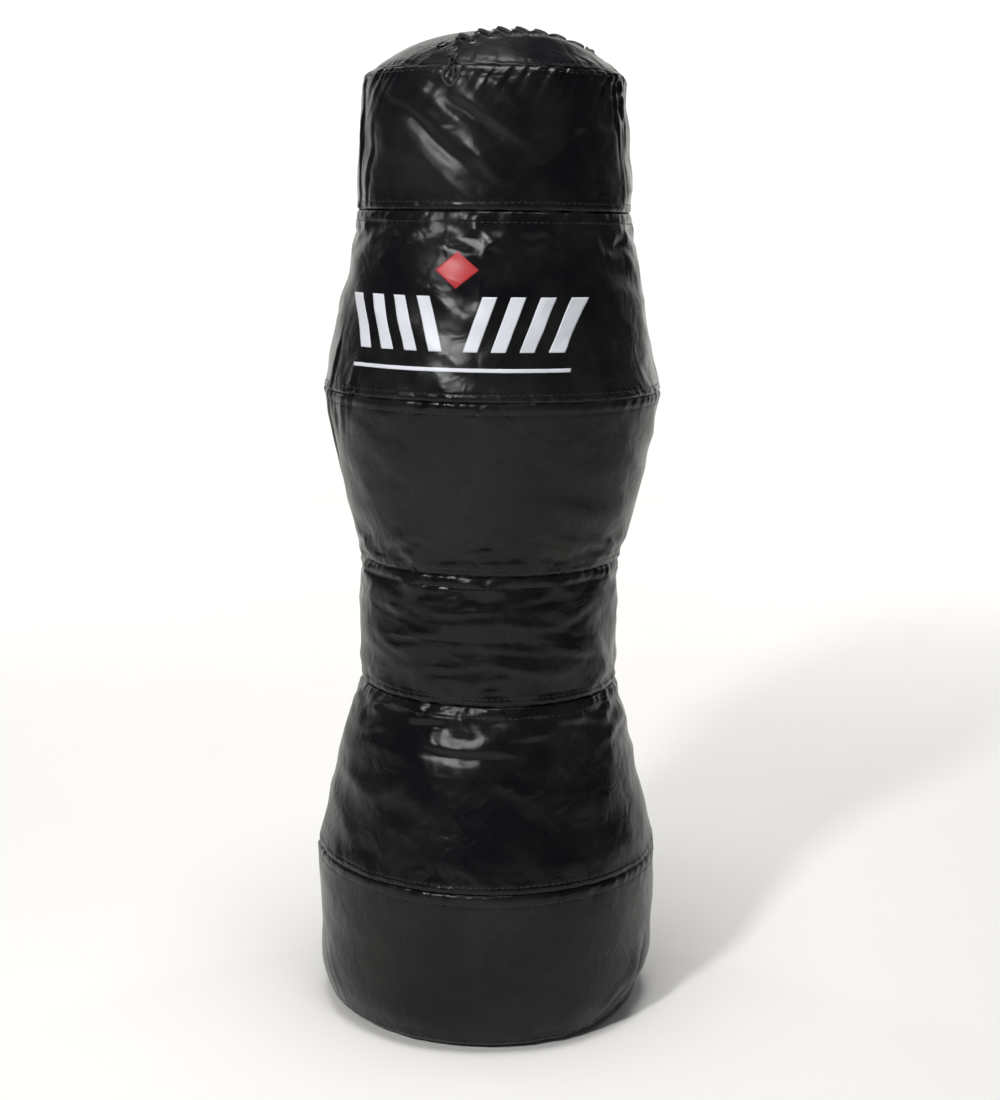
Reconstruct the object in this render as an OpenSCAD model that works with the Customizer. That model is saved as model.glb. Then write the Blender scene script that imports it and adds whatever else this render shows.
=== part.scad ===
// Waisted heavy punching bag: a sewn shell of coated cloth, stuffed with textile,
// with a laced filling slit in its crown. It stands on its base disc.
// Origin: centre of the base disc's underside. +Z up, -Y is the front.

/* [Radii of the shell at its seams] */
// Outer radius at the bottom edge, where the base disc is sewn in
base_r = 152; // [148:1:160]
// Outer radius at the hip seam, the fullest seam
hip_r = 175; // [170:1:180]
// Outer radius of the waist
waist_r = 130; // [126:1:134]
// Outer radius at the chest seam
chest_r = 168; // [160:1:174]
// Outer radius at the neck seam
neck_r = 134; // [131:1:138]
// Outer radius at the rim seam, where the crown is sewn in
rim_r = 123; // [120:1:126]

/* [Heights of the seams] */
// Height of the hip seam
hip_z = 165; // [150:1:180]
// Height of the seam under the waist
lower_waist_z = 340; // [330:1:350]
// Height of the seam over the waist
upper_waist_z = 468; // [458:1:478]
// Height of the chest seam
chest_z = 638; // [620:1:650]
// Height of the neck seam
neck_z = 812; // [800:1:825]
// Height of the rim seam
rim_z = 943; // [938:1:950]
// Height of the top of the crown
crown_z = 986; // [982:1:990]

/* [Cloth, tape and thread] */
// Thickness of the coated cloth
skin_t = 1.2; // [0.8:0.1:1.4]
// Thickness of the tape behind each seam
tape_t = 1.4; // [1:0.1:1.6]
// Width of the tape behind each seam
tape_w = 26; // [22:1:30]
// Diameter of the sewing thread
thread_d = 0.9; // [0.6:0.1:1.2]
// Distance from a seam up to the upper row of stitches
row_above = 7.5; // [6:0.5:9]
// Distance from a seam down to the lower row of stitches
row_below = 10.5; // [8:0.5:12]

/* [Filling slit and its lacing] */
// Distance of the slit from the crown's centre, towards the front
slit_offset = 50; // [44:1:56]
// Angle of the slit from the X axis
slit_angle = 29; // [20:1:35]
// Gap between the two hemmed edges
slit_gap = 8; // [6:1:9]
// Number of eyelets along each edge
eyelet_count = 9; // [7:1:9]
// Distance between eyelets along an edge
eyelet_pitch = 20; // [18:1:20]
// Distance of the eyelets from the middle of the slit
eyelet_inset = 11; // [11:0.5:13]
// Bore radius of an eyelet
eyelet_r = 3; // [2.8:0.1:3.2]
// Diameter of the lace
lace_d = 4.4; // [3.8:0.1:4.6]

/* [Print on the front] */
// Turn of the print from the front, about the vertical axis
print_turn = -13; // [-20:1:0]
// Number of slanted bars on each side of the middle
bar_count = 4; // [3:1:4]
// Distance from one bar to the next
bar_pitch = 25; // [22:1:26]
// Distance of the innermost bars' feet from the middle
bar_first = 16; // [14:1:20]
// Width of a bar
bar_w = 13; // [10:1:16]
// Height of a bar
bar_h = 50; // [40:1:54]
// Half the width of the diamond
diamond_half_w = 20; // [14:1:22]

/* [Flex of the stuffed waist] */
// Radius of the ball of filling that the waist bends about
waist_ball_r = 116; // [110:1:118]
// Clear height round the ball, half of it below the middle of the waist
flex_gap = 20; // [20:1:24]

/* [Hidden] */
$fn = 96;

cloth_colour = "#141318";
tape_colour = "#1d1c20";
thread_colour = "#08080a";
eyelet_colour = "#26262a";
lace_colour = "#0c0c0e";
filling_colour = "#8b8478";
white_ink = "#e4e2de";
red_ink = "#b5161c";

fit = 0.15;                   // gap between layers of the shell
body_gap = 0.3;               // gap between cloth that rides on different bodies
lining = skin_t + tape_t + 3 * fit;   // from the outside of the shell to the filling
disc_r = base_r - 4;          // the base disc
welt_r = 2.4;                 // the bound edge round the base
welt_z = welt_r + 0.3;        // its centre, so that the disc alone meets the ground
welt_ring_r = base_r - welt_r + 1;
panel_foot_z = welt_z + welt_r;
base_round_z = 64;            // height over which the base panel curves in
rim_round_z = 30;             // height over which the neck panel curves in
rim_round_r = 7;              // how far it curves in
waist_mid_z = (lower_waist_z + upper_waist_z) / 2;
ink_t = 0.25;                 // thickness of the printed ink
bar_z = chest_z + 46;         // the foot of the bars
bar_slant = 15;               // how far a bar's top leans outwards
line_z = chest_z + 28;
line_h = 3.5;
line_half_w = 104;
diamond_z = chest_z + 120;
diamond_half_h = 17;
chest_bulge = 3;              // how far the filling pushes a panel out of a straight cone
shoulder_bulge = -1.5;
steps = 8;                    // straight stretches in a curved panel's outline

crown_h = crown_z - rim_z;
crown_ball_r = (rim_r * rim_r + crown_h * crown_h) / (2 * crown_h);
crown_centre_z = crown_z - crown_ball_r;
strip_t = 1.5;                // webbing under each hemmed edge
strip_w = 19;
strip_l = 184;
washer_t = 0.5;
flange_t = 0.8;
flange_r = 6;
barrel_wall = 1;
clinch_t = 0.4;
under_washer = skin_t + fit + strip_t + fit + washer_t + fit;  // depth to a washer's underside
lace_r = lace_d / 2;
lace_over = flange_t + lace_r + 0.3;      // how far the lace runs above the crown
lace_under = under_washer + clinch_t + lace_r + 0.3;
lace_corner = 1.7;            // a bend in the lace is cut this far across its corner
tongue_t = 1.2;
tongue_depth = lace_under + lace_r + 0.5;
tongue_half_w = 34;
back_tape_angle = 9;          // the vertical tape behind each panel's closing seam
back_row_angle = 2.2;         // its two rows of stitches, each side of the seam

tie_angle = -108;             // where the lace comes over the rim, seen from above
tie_r = rim_r + 5;            // centre of the knot that ties it there
tie_z = rim_z + 5;
knot_r = 4.4;
loop_drop = 25;               // how far the bow's loop hangs under the knot
loop_half_w = 8.4;
tail_drops = [15, 18];        // and its two tails, which hang inside the loop
tail_spread = 2.4;

// ---- outline of the shell --------------------------------------------------

function mix(a, b, t) = a + (b - a) * t;
function rounding(t) = 1 - sqrt(1 - t * t);
function cone_r(z, r0, z0, r1, z1, bulge) =
    let (t = (z - z0) / (z1 - z0)) mix(r0, r1, t) + bulge * 4 * t * (1 - t);

// Outer radius of the shell at a height
function shell_r(z) =
    z < base_round_z ? hip_r - (hip_r - base_r + 1) * rounding((base_round_z - z) / base_round_z) :
    z < hip_z ? hip_r :
    z < lower_waist_z ? cone_r(z, hip_r, hip_z, waist_r, lower_waist_z, 0.8) :
    z < upper_waist_z ? waist_r :
    z < chest_z ? cone_r(z, waist_r, upper_waist_z, chest_r, chest_z, chest_bulge) :
    z < neck_z ? cone_r(z, chest_r, chest_z, neck_r, neck_z, shoulder_bulge) :
    z < rim_z - rim_round_z ? mix(neck_r, rim_r + rim_round_r,
                                  (z - neck_z) / (rim_z - rim_round_z - neck_z)) :
    rim_r + rim_round_r - rim_round_r * rounding((z - rim_z + rim_round_z) / rim_round_z);

// Heights from one end of a stretch to the other, with every seam and bend between
function heights(z0, z1) =
    let (corners = [base_round_z, hip_z, lower_waist_z, upper_waist_z, chest_z, neck_z,
                    rim_z - rim_round_z],
         ends = concat([z0], [for (c = corners) if (c > z0 && c < z1) c], [z1]))
    concat([for (i = [0 : len(ends) - 2], k = [0 : steps - 1])
                mix(ends[i], ends[i + 1], k / steps)], [z1]);

// A ring of the shell, from one depth under its outside to another
module shell_ring(z0, z1, outer, inner) {
    zs = heights(z0, z1);
    rotate_extrude()
        polygon(concat([for (z = zs) [shell_r(z) - outer, z]],
                       [for (i = [len(zs) - 1 : -1 : 0]) [shell_r(zs[i]) - inner, zs[i]]]));
}

// The same, but only a narrow sector at the back
module shell_sector(z0, z1, outer, inner, angle, turn = 0) {
    zs = heights(z0, z1);
    rotate([0, 0, 90 + turn - angle / 2])
        rotate_extrude(angle = angle)
            polygon(concat([for (z = zs) [shell_r(z) - outer, z]],
                           [for (i = [len(zs) - 1 : -1 : 0]) [shell_r(zs[i]) - inner, zs[i]]]));
}

module skin(z0, z1) color(cloth_colour) shell_ring(z0, z1, 0, skin_t);

module seam_tape(z)
    color(tape_colour)
        shell_ring(z - tape_w / 2, z + tape_w / 2, skin_t + fit, skin_t + fit + tape_t);

module stitch_row(z)
    rotate_extrude()
        translate([shell_r(z) + thread_d / 2 + fit, z])
            circle(d = thread_d, $fn = 16);

module stitch_rows(z)
    color(thread_colour) {
        stitch_row(z + row_above);
        stitch_row(z - row_below);
    }

// A vertical tape behind the closing seam of the panel between two seams
module back_tape(z0, z1)
    color(tape_colour)
        shell_sector(z0 + tape_w / 2 + 1, z1 - tape_w / 2 - 1, skin_t + fit, skin_t + fit + tape_t,
                     back_tape_angle);

module back_rows(z0, z1)
    color(thread_colour)
        for (side = [-1, 1])
            shell_sector(z0 + row_above + 2, z1 - row_below - 2, -fit - thread_d, -fit, 0.4,
                         side * back_row_angle);

// ---- print on the shoulder panel ---------------------------------------------

// A shape drawn in [across, up] and printed on the outside of the shell
module printed(z0, z1)
    intersection() {
        shell_ring(z0, z1, -fit - ink_t, -fit);
        rotate([90, 0, print_turn]) linear_extrude(height = chest_r + 20) children();
    }

module print_bars()
    color(white_ink)
        printed(bar_z, bar_z + bar_h)
            for (side = [-1, 1], i = [0 : bar_count - 1]) {
                foot = side * (bar_first + bar_pitch * i);
                polygon([[foot - bar_w / 2, bar_z], [foot + bar_w / 2, bar_z],
                         [foot + bar_w / 2 + side * bar_slant, bar_z + bar_h],
                         [foot - bar_w / 2 + side * bar_slant, bar_z + bar_h]]);
            }

module print_line()
    color(white_ink)
        printed(line_z, line_z + line_h)
            translate([-line_half_w, line_z - 1])
                square([2 * line_half_w, line_h + 2]);

module print_diamond()
    color(red_ink)
        printed(diamond_z - diamond_half_h, diamond_z + diamond_half_h)
            polygon([[-diamond_half_w, diamond_z], [0, diamond_z - diamond_half_h],
                     [diamond_half_w, diamond_z], [0, diamond_z + diamond_half_h]]);

// ---- base ------------------------------------------------------------------

module base_disc() color(cloth_colour) cylinder(r = disc_r, h = skin_t);

module base_binding()
    color(tape_colour)
        rotate_extrude() translate([welt_ring_r, welt_z]) circle(r = welt_r, $fn = 32);

module base_panel() skin(panel_foot_z, hip_z);

module base_seam_stitching() color(thread_colour) stitch_row(panel_foot_z + 4);

// ---- crown and its filling slit ---------------------------------------------

slit_along = [cos(slit_angle), sin(slit_angle)];
slit_across = [sin(slit_angle), -cos(slit_angle)];    // towards the front panel

// Direction out of the crown at a place along and across the slit
function crown_normal(s, w) =
    let (p = s * slit_along + (slit_offset + w) * slit_across,
         up = sqrt(crown_ball_r * crown_ball_r - p * p))
    [p[0], p[1], up] / crown_ball_r;

function crown_point(s, w, lift) =
    [0, 0, crown_centre_z] + (crown_ball_r + lift) * crown_normal(s, w);

module on_crown(s, w, lift) {
    n = crown_normal(s, w);
    translate(crown_point(s, w, lift))
        rotate([0, acos(n[2]), atan2(n[1], n[0])])
            children();
}

function eyelet_s(i) = (i - (eyelet_count - 1) / 2) * eyelet_pitch;

module crown_layer(outer, inner) {
    translate([0, 0, crown_centre_z])
        difference() {
            sphere(r = crown_ball_r - outer);
            sphere(r = crown_ball_r - inner);
        }
}

// A box over the crown, w0 to w1 across the slit
module slit_block(s0, s1, w0, w1)
    rotate([0, 0, slit_angle])
        translate([s0, -slit_offset - w1, rim_z - 20])
            cube([s1 - s0, w1 - w0, crown_h + 40]);

module eyelet_holes(side)
    for (i = [0 : eyelet_count - 1])
        on_crown(eyelet_s(i), side * eyelet_inset, -12)
            cylinder(r = eyelet_r + barrel_wall + fit / 2, h = 24, $fn = 48);

module crown_panel(side, w0, w1)
    color(cloth_colour)
        difference() {
            intersection() {
                crown_layer(0, skin_t);
                translate([0, 0, rim_z + fit]) cylinder(r = rim_r, h = crown_h + 10);
                slit_block(-rim_r, rim_r, w0, w1);
            }
            eyelet_holes(side);
        }

module crown_main_panel() crown_panel(-1, -slit_offset - rim_r, -slit_gap / 2);

module crown_front_panel() crown_panel(1, slit_gap / 2, rim_r);

module eyelet_strip(side)
    color(tape_colour)
        difference() {
            intersection() {
                crown_layer(skin_t + fit, skin_t + fit + strip_t);
                slit_block(-strip_l / 2, strip_l / 2,
                           side > 0 ? slit_gap / 2 : -slit_gap / 2 - strip_w,
                           side > 0 ? slit_gap / 2 + strip_w : -slit_gap / 2);
            }
            eyelet_holes(side);
        }

module eyelet()
    difference() {
        union() {
            cylinder(r = flange_r, h = flange_t);
            translate([0, 0, -under_washer - clinch_t])
                cylinder(r = eyelet_r + barrel_wall, h = under_washer + clinch_t + flange_t / 2);
            translate([0, 0, -under_washer - clinch_t])
                cylinder(r = eyelet_r + barrel_wall + 0.8, h = clinch_t);
        }
        translate([0, 0, -12]) cylinder(r = eyelet_r, h = 24);
    }

module eyelets(side)
    color(eyelet_colour)
        for (i = [0 : eyelet_count - 1])
            on_crown(eyelet_s(i), side * eyelet_inset, fit / 2) eyelet($fn = 48);

module eyelet_washers(side)
    color(eyelet_colour)
        for (i = [0 : eyelet_count - 1])
            on_crown(eyelet_s(i), side * eyelet_inset, -under_washer + fit)
                difference() {
                    cylinder(r = flange_r, h = washer_t - fit, $fn = 48);
                    translate([0, 0, -1])
                        cylinder(r = eyelet_r + barrel_wall + fit / 2, h = 3, $fn = 48);
                }

// A straight row of stitches through hem and strip, as a low rib on the crown
module hem_stitching(side)
    color(thread_colour)
        intersection() {
            crown_layer(-fit - thread_d, -fit);
            slit_block(-strip_l / 2, strip_l / 2,
                       side * (slit_gap / 2 + strip_w - 1.2) - thread_d / 2,
                       side * (slit_gap / 2 + strip_w - 1.2) + thread_d / 2);
        }

module tongue_flap()
    color(cloth_colour)
        intersection() {
            crown_layer(tongue_depth, tongue_depth + tongue_t);
            slit_block(-strip_l / 2 - 2, strip_l / 2 + 2, -tongue_half_w, tongue_half_w);
            translate([0, 0, rim_z - 6]) cylinder(r = rim_r - 10, h = crown_h + 10);
        }

module rim_seam_stitching()
    color(thread_colour) {
        stitch_row(rim_z - 5);
        n = sqrt(crown_ball_r * crown_ball_r - pow(rim_r - 5, 2));
        rotate_extrude()
            translate([(rim_r - 5) * (crown_ball_r + 0.6) / crown_ball_r,
                       crown_centre_z + n * (crown_ball_r + 0.6) / crown_ball_r])
                circle(d = thread_d, $fn = 16);
    }

// ---- lace --------------------------------------------------------------------

function unit(v) = v / norm(v);
function tangents(p) =
    [for (i = [0 : len(p) - 1])
        unit((i < len(p) - 1 ? unit(p[i + 1] - p[i]) : [0, 0, 0])
           + (i > 0 ? unit(p[i] - p[i - 1]) : [0, 0, 0]))];
function carried(t, i, side) =
    i == len(t) ? [] :
    let (n = unit(side - (side * t[i]) * t[i])) concat([n], carried(t, i + 1, n));

// A round tube of 8 sides along a list of points
module tube(p, r, side, sides = 8) {
    t = tangents(p);
    n = carried(t, 0, side);
    points = [for (i = [0 : len(p) - 1], k = [0 : sides - 1])
        p[i] + r * (cos(k * 360 / sides) * n[i] + sin(k * 360 / sides) * cross(t[i], n[i]))];
    walls = [for (i = [0 : len(p) - 2], k = [0 : sides - 1])
        let (a = i * sides + k, b = i * sides + (k + 1) % sides)
        each [[a, a + sides, b], [b, a + sides, b + sides]]];
    start = [for (k = [0 : sides - 1]) k];
    end = [for (k = [sides - 1 : -1 : 0]) (len(p) - 1) * sides + k];
    polyhedron(points, concat([start], walls, [end]));
}

// One turn of the lace: up through a front eyelet, over the slit, down through the main one
function lace_turn(s) =
    let (w = eyelet_inset, c = lace_corner)
    [crown_point(s, w - c, -lace_under), crown_point(s, w, -lace_under + c),
     crown_point(s, w, lace_over - c), crown_point(s, w - c, lace_over),
     crown_point(s, c - w, lace_over), crown_point(s, -w, lace_over - c),
     crown_point(s, -w, -lace_under + c), crown_point(s, c - w, -lace_under)];

// A place above the crown, by its distance from the middle and its angle
function crown_polar(r, angle, lift) =
    let (up = sqrt(crown_ball_r * crown_ball_r - r * r))
    [0, 0, crown_centre_z]
    + (crown_ball_r + lift) / crown_ball_r * [r * cos(angle), r * sin(angle), up];

// Outward and sideways directions where the lace comes over the rim
tie_out = [cos(tie_angle), sin(tie_angle), 0];
tie_side = [-sin(tie_angle), cos(tie_angle), 0];
tie_knot = tie_r * tie_out + [0, 0, tie_z];

// The far end is stopped by a knot over its main eyelet; the near end runs to the tie
far_s = eyelet_s(eyelet_count - 1);
near_s = eyelet_s(0);
rim_bend = crown_polar(rim_r - 4, tie_angle - 0.6, lace_over);
lace_route = concat(
    [crown_point(far_s, -eyelet_inset, lace_over - 0.6),
     crown_point(far_s, -eyelet_inset, -lace_under + lace_corner),
     crown_point(far_s, lace_corner - eyelet_inset, -lace_under)],
    [for (i = [eyelet_count - 2 : -1 : 1]) each lace_turn(eyelet_s(i))],
    [crown_point(near_s, eyelet_inset - lace_corner, -lace_under),
     crown_point(near_s, eyelet_inset, -lace_under + lace_corner),
     crown_point(near_s, eyelet_inset, lace_over - lace_corner),
     crown_polar(103, tie_angle - 5, lace_over + 0.2),
     crown_polar(111, tie_angle - 2.5, lace_over),
     rim_bend,
     tie_knot + (knot_r + 0.5) * unit(rim_bend - tie_knot)]);

module lace()
    color(lace_colour) tube(lace_route, lace_r, [slit_along[0], slit_along[1], 0]);

// A tied lump of lace, with one turn of it standing out
module knot(r) {
    sphere(r = r, $fn = 48);
    rotate([70, 0, 20])
        rotate_extrude($fn = 48)
            translate([r - lace_r * 0.6, 0]) circle(r = lace_r * 0.85, $fn = 24);
}

module lace_stop_knot()
    color(lace_colour)
        on_crown(far_s, -eyelet_inset, lace_over + knot_r) knot(knot_r);

module lace_tie_knot() color(lace_colour) translate(tie_knot) knot(knot_r);

// A place under the tie knot, as far off the neck panel as the hanging lace lies
function hanging(side, drop) =
    let (z = tie_z - drop)
    (shell_r(min(z, rim_z)) + lace_r + 1.2) * tie_out + side * tie_side + [0, 0, z];

// The loop's heart shape, as [sideways, down] from the knot; the other half mirrors it
loop_half = [[1.9, 6.6], [5.6, 8.8], [loop_half_w, 13], [loop_half_w - 0.4, loop_drop - 7.5],
             [loop_half_w - 3, loop_drop - 3.4], [2.8, loop_drop - 0.7]];

module lace_bow()
    color(lace_colour) {
        tube(concat([for (k = loop_half) hanging(-k[0], k[1])], [hanging(0, loop_drop)],
                    [for (k = [len(loop_half) - 1 : -1 : 0])
                        hanging(loop_half[k][0], loop_half[k][1])]),
             lace_r * 0.8, tie_out);
        for (i = [0, 1])
            let (side = (i - 0.5) * 2 * tail_spread)
                tube([hanging(side * 0.9, 10.2), hanging(side, 13),
                      hanging(side * 1.15, tail_drops[i] + 1)],
                     lace_r * 0.8, tie_out);
    }

// ---- filling -----------------------------------------------------------------

module filling_column(z0, z1) {
    zs = heights(z0, z1);
    rotate_extrude()
        polygon(concat([[0, z0]], [for (z = zs) [shell_r(z) - lining, z]], [[0, z1]]));
}

module waist_ball(extra) translate([0, 0, waist_mid_z]) sphere(r = waist_ball_r + extra);

module lower_filling()
    color(filling_colour)
        difference() {
            union() {
                filling_column(welt_z + welt_r + 1, waist_mid_z - flex_gap / 2);
                translate([0, 0, skin_t + fit]) cylinder(r = disc_r - 4, h = 8);
            }
            waist_ball(body_gap);
        }

module waist_filling() color(filling_colour) waist_ball(0);

module upper_filling()
    color(filling_colour)
        difference() {
            union() {
                filling_column(waist_mid_z + flex_gap / 2, rim_z - 8);
                intersection() {
                    translate([0, 0, crown_centre_z]) sphere(r = crown_ball_r - lining);
                    translate([0, 0, rim_z - 9]) cylinder(r = rim_r - lining - 2, h = crown_h + 20);
                }
            }
            waist_ball(body_gap);
            intersection() {
                crown_layer(0, tongue_depth + tongue_t + fit);
                slit_block(-rim_r, rim_r, -tongue_half_w - 1, tongue_half_w + 1);
            }
        }

// ---- nodes -------------------------------------------------------------------

base_disc();
base_binding();
base_panel();
skin(hip_z, lower_waist_z);  // hip_panel
skin(lower_waist_z + body_gap, upper_waist_z - body_gap);  // waist_panel
skin(upper_waist_z, chest_z);  // chest_panel
skin(chest_z, neck_z);  // shoulder_panel
skin(neck_z, rim_z);  // neck_panel
crown_main_panel();
crown_front_panel();
seam_tape(hip_z);  // hip_seam_tape
seam_tape(lower_waist_z);  // lower_waist_seam_tape
seam_tape(upper_waist_z);  // upper_waist_seam_tape
seam_tape(chest_z);  // chest_seam_tape
seam_tape(neck_z);  // neck_seam_tape
color(tape_colour) shell_ring(rim_z - tape_w, rim_z - 4, skin_t + fit, skin_t + fit + tape_t);  // rim_seam_tape
base_seam_stitching();
stitch_rows(hip_z);  // hip_seam_stitching
stitch_rows(lower_waist_z);  // lower_waist_seam_stitching
stitch_rows(upper_waist_z);  // upper_waist_seam_stitching
stitch_rows(chest_z);  // chest_seam_stitching
stitch_rows(neck_z);  // neck_seam_stitching
rim_seam_stitching();
union() {  // lower_back_tapes
    back_tape(0, hip_z);
    back_tape(hip_z, lower_waist_z);
}
back_tape(lower_waist_z, upper_waist_z);  // waist_back_tape
union() {  // upper_back_tapes
    back_tape(upper_waist_z, chest_z);
    back_tape(chest_z, neck_z);
    back_tape(neck_z, rim_z - tape_w / 2);
}
union() {  // lower_back_stitching
    back_rows(panel_foot_z, hip_z);
    back_rows(hip_z, lower_waist_z);
}
back_rows(lower_waist_z, upper_waist_z);  // waist_back_stitching
union() {  // upper_back_stitching
    back_rows(upper_waist_z, chest_z);
    back_rows(chest_z, neck_z);
    back_rows(neck_z, rim_z);
}
eyelet_strip(-1);  // main_eyelet_strip
eyelet_strip(1);  // front_eyelet_strip
eyelets(-1);  // main_eyelets
eyelets(1);  // front_eyelets
eyelet_washers(-1);  // main_eyelet_washers
eyelet_washers(1);  // front_eyelet_washers
hem_stitching(-1);  // main_hem_stitching
hem_stitching(1);  // front_hem_stitching
tongue_flap();
print_bars();
print_line();
print_diamond();
lace();
lace_stop_knot();
lace_tie_knot();
lace_bow();
lower_filling();
waist_filling();
upper_filling();
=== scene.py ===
"""A waisted, stuffed punching bag: bands of coated cloth with topstitched seams, a laced
crown and a bound base. The file is laid out as an add-on and is run as a script."""

import math
import random

import bmesh
import bpy
import numpy as np
from mathutils import Matrix, Vector, noise


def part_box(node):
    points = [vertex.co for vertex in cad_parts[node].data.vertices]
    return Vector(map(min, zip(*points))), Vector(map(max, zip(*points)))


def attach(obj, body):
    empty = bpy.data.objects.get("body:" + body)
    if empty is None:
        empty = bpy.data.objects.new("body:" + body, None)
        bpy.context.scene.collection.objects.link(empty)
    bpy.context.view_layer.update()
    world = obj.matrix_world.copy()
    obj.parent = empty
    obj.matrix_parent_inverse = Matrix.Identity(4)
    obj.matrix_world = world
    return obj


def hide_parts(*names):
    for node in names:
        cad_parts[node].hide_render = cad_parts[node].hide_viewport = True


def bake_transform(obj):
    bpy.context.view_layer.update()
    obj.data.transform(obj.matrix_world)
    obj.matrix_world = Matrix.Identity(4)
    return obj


bl_info = {
    "name": "Waisted punching bag",
    "version": (1, 0, 0),
    "blender": (4, 5, 0),
    "location": "View3D > Sidebar > Bag",
    "description": "Builds a stuffed punching bag with sewn bands and a laced crown",
    "category": "Object",
}

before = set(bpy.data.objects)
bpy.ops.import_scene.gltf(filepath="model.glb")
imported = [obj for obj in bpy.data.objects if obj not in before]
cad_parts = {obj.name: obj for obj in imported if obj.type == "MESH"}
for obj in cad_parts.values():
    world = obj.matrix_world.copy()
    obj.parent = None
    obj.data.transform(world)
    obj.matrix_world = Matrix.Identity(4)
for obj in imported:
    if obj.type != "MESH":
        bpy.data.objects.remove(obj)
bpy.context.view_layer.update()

MM = 0.001
FULL_TURN = 2 * math.pi
FRONT = -math.pi / 2
SEAM_BACK = math.pi / 2

# Heights of the seams and radii of the shell, in metres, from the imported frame.
HIP_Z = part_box("hip_panel")[0].z
LOWER_WAIST_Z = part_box("hip_panel")[1].z
UPPER_WAIST_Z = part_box("chest_panel")[0].z
CHEST_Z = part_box("chest_panel")[1].z
NECK_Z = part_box("neck_panel")[0].z
RIM_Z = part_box("neck_panel")[1].z
CROWN_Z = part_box("crown_main_panel")[1].z
WAIST_MID_Z = (LOWER_WAIST_Z + UPPER_WAIST_Z) / 2
HIP_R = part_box("hip_panel")[1].x
WAIST_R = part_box("waist_panel")[1].x
CHEST_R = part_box("shoulder_panel")[1].x
NECK_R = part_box("neck_panel")[1].x
BASE_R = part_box("base_binding")[1].x - 1 * MM
RIM_R = 123 * MM
BASE_ROUND = 64 * MM
RIM_ROUND = 30 * MM
RIM_TUCK = 7 * MM
PANEL_FOOT_Z = 5.1 * MM
CLOTH_T = 1.2 * MM

CROWN_H = CROWN_Z - RIM_Z
CROWN_BALL_R = (RIM_R ** 2 + CROWN_H ** 2) / (2 * CROWN_H)
CROWN_CENTRE_Z = CROWN_Z - CROWN_BALL_R

# The slit in the crown: its place, direction, eyelets and lace.
SLIT_OFFSET = 50 * MM
SLIT_ANGLE = math.radians(29)
SLIT_HALF_GAP = 4 * MM
EYELET_COUNT = 9
EYELET_PITCH = 20 * MM
EYELET_INSET = 11 * MM
LACE_R = 2.2 * MM
LACE_OVER = 2.3 * MM
LACE_UNDER = 6.65 * MM
TIE_ANGLE = math.radians(-108)
TIE_R = RIM_R + 5 * MM
TIE_Z = RIM_Z + 5 * MM
KNOT_R = 4.4 * MM
BOW_R = LACE_R * 0.68
ROW_ABOVE = 7.5 * MM
ROW_BELOW = 10.5 * MM
STITCH_LIFT = 0.15 * MM


# ---- sizes and colours ---------------------------------------------------------------


def length(name, description, size):
    """A length property whose default is in millimetres."""
    return bpy.props.FloatProperty(name=name, description=description, default=size * MM,
                                   unit="LENGTH")


def tone(name, description, code):
    """A colour property, as an sRGB hex value."""
    return bpy.props.StringProperty(name=name, description=description, default=code)


class BagSizes(bpy.types.PropertyGroup):
    """Sizes that shape the cloth, its stitches and its weave"""

    steps_round: bpy.props.IntProperty(
        name="Steps round", description="Columns of faces round a band", default=420, min=60)
    row_at_seam: length("Row at a seam", "Height of a row of faces beside a seam", 1.0)
    row_mid: length("Row in the middle", "Height of a row of faces in a band's middle", 3.6)
    ditch_depth: length("Ditch depth", "How far a seam pulls the cloth in", 1.3)
    pucker_depth: length("Pucker depth", "Depth of the small gathers beside a seam", 1.4)
    slack_depth: length("Slack depth", "Depth of the wide, soft waves of the cloth", 2.1)
    stitch_length: length("Stitch length", "Visible length of one stitch", 4.6)
    stitch_pitch: length("Stitch pitch", "Distance from one stitch to the next", 6.2)
    stitch_width: length("Stitch width", "Thickness of the sewing thread", 0.9)
    weave_pitch: length("Weave pitch", "Distance between threads, coarser than real to show", 2.3)


class BagColours(bpy.types.PropertyGroup):
    """Colours of the finishes, as sRGB hex values"""

    cloth: tone("Cloth", "Black coating of the cloth", "#0B0A0D")
    cloth_dust: tone("Dust on the cloth", "Scuffed places on the coating", "#1A1B19")
    thread: tone("Thread", "Bonded sewing thread", "#0E0E11")
    tape: tone("Tape", "Woven seam tape and edge binding", "#17171A")
    lace: tone("Lace", "Braided lace", "#0D0D0F")
    eyelet: tone("Eyelets", "Black lacquer on the eyelets", "#1C1C20")
    white_ink: tone("White ink", "Printed bars and line", "#D3D6DC")
    red_ink: tone("Red ink", "Printed diamond", "#A8101A")
    filling: tone("Filling", "Shredded textile", "#8D867B")
    floor: tone("Floor", "Pale studio floor", "#F4F2EE")


def bag_sizes():
    return bpy.context.scene.bag_sizes


def bag_colours():
    return bpy.context.scene.bag_colours


# ---- shape of the stuffed shell ------------------------------------------------------


def mix(a, b, t):
    return a + (b - a) * t


def rounding(t):
    return 1 - math.sqrt(max(0.0, 1 - t * t))


def wrapped(turn):
    """The same turn, between half a turn back and half a turn on."""
    return (turn + math.pi) % FULL_TURN - math.pi


def bump(x, width):
    """A smooth hill of height 1 round 0."""
    return math.exp(-(x / width) ** 2)


def cone_radius(z, r0, z0, r1, z1, bulge):
    t = (z - z0) / (z1 - z0)
    return mix(r0, r1, t) + bulge * 4 * t * (1 - t)


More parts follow.
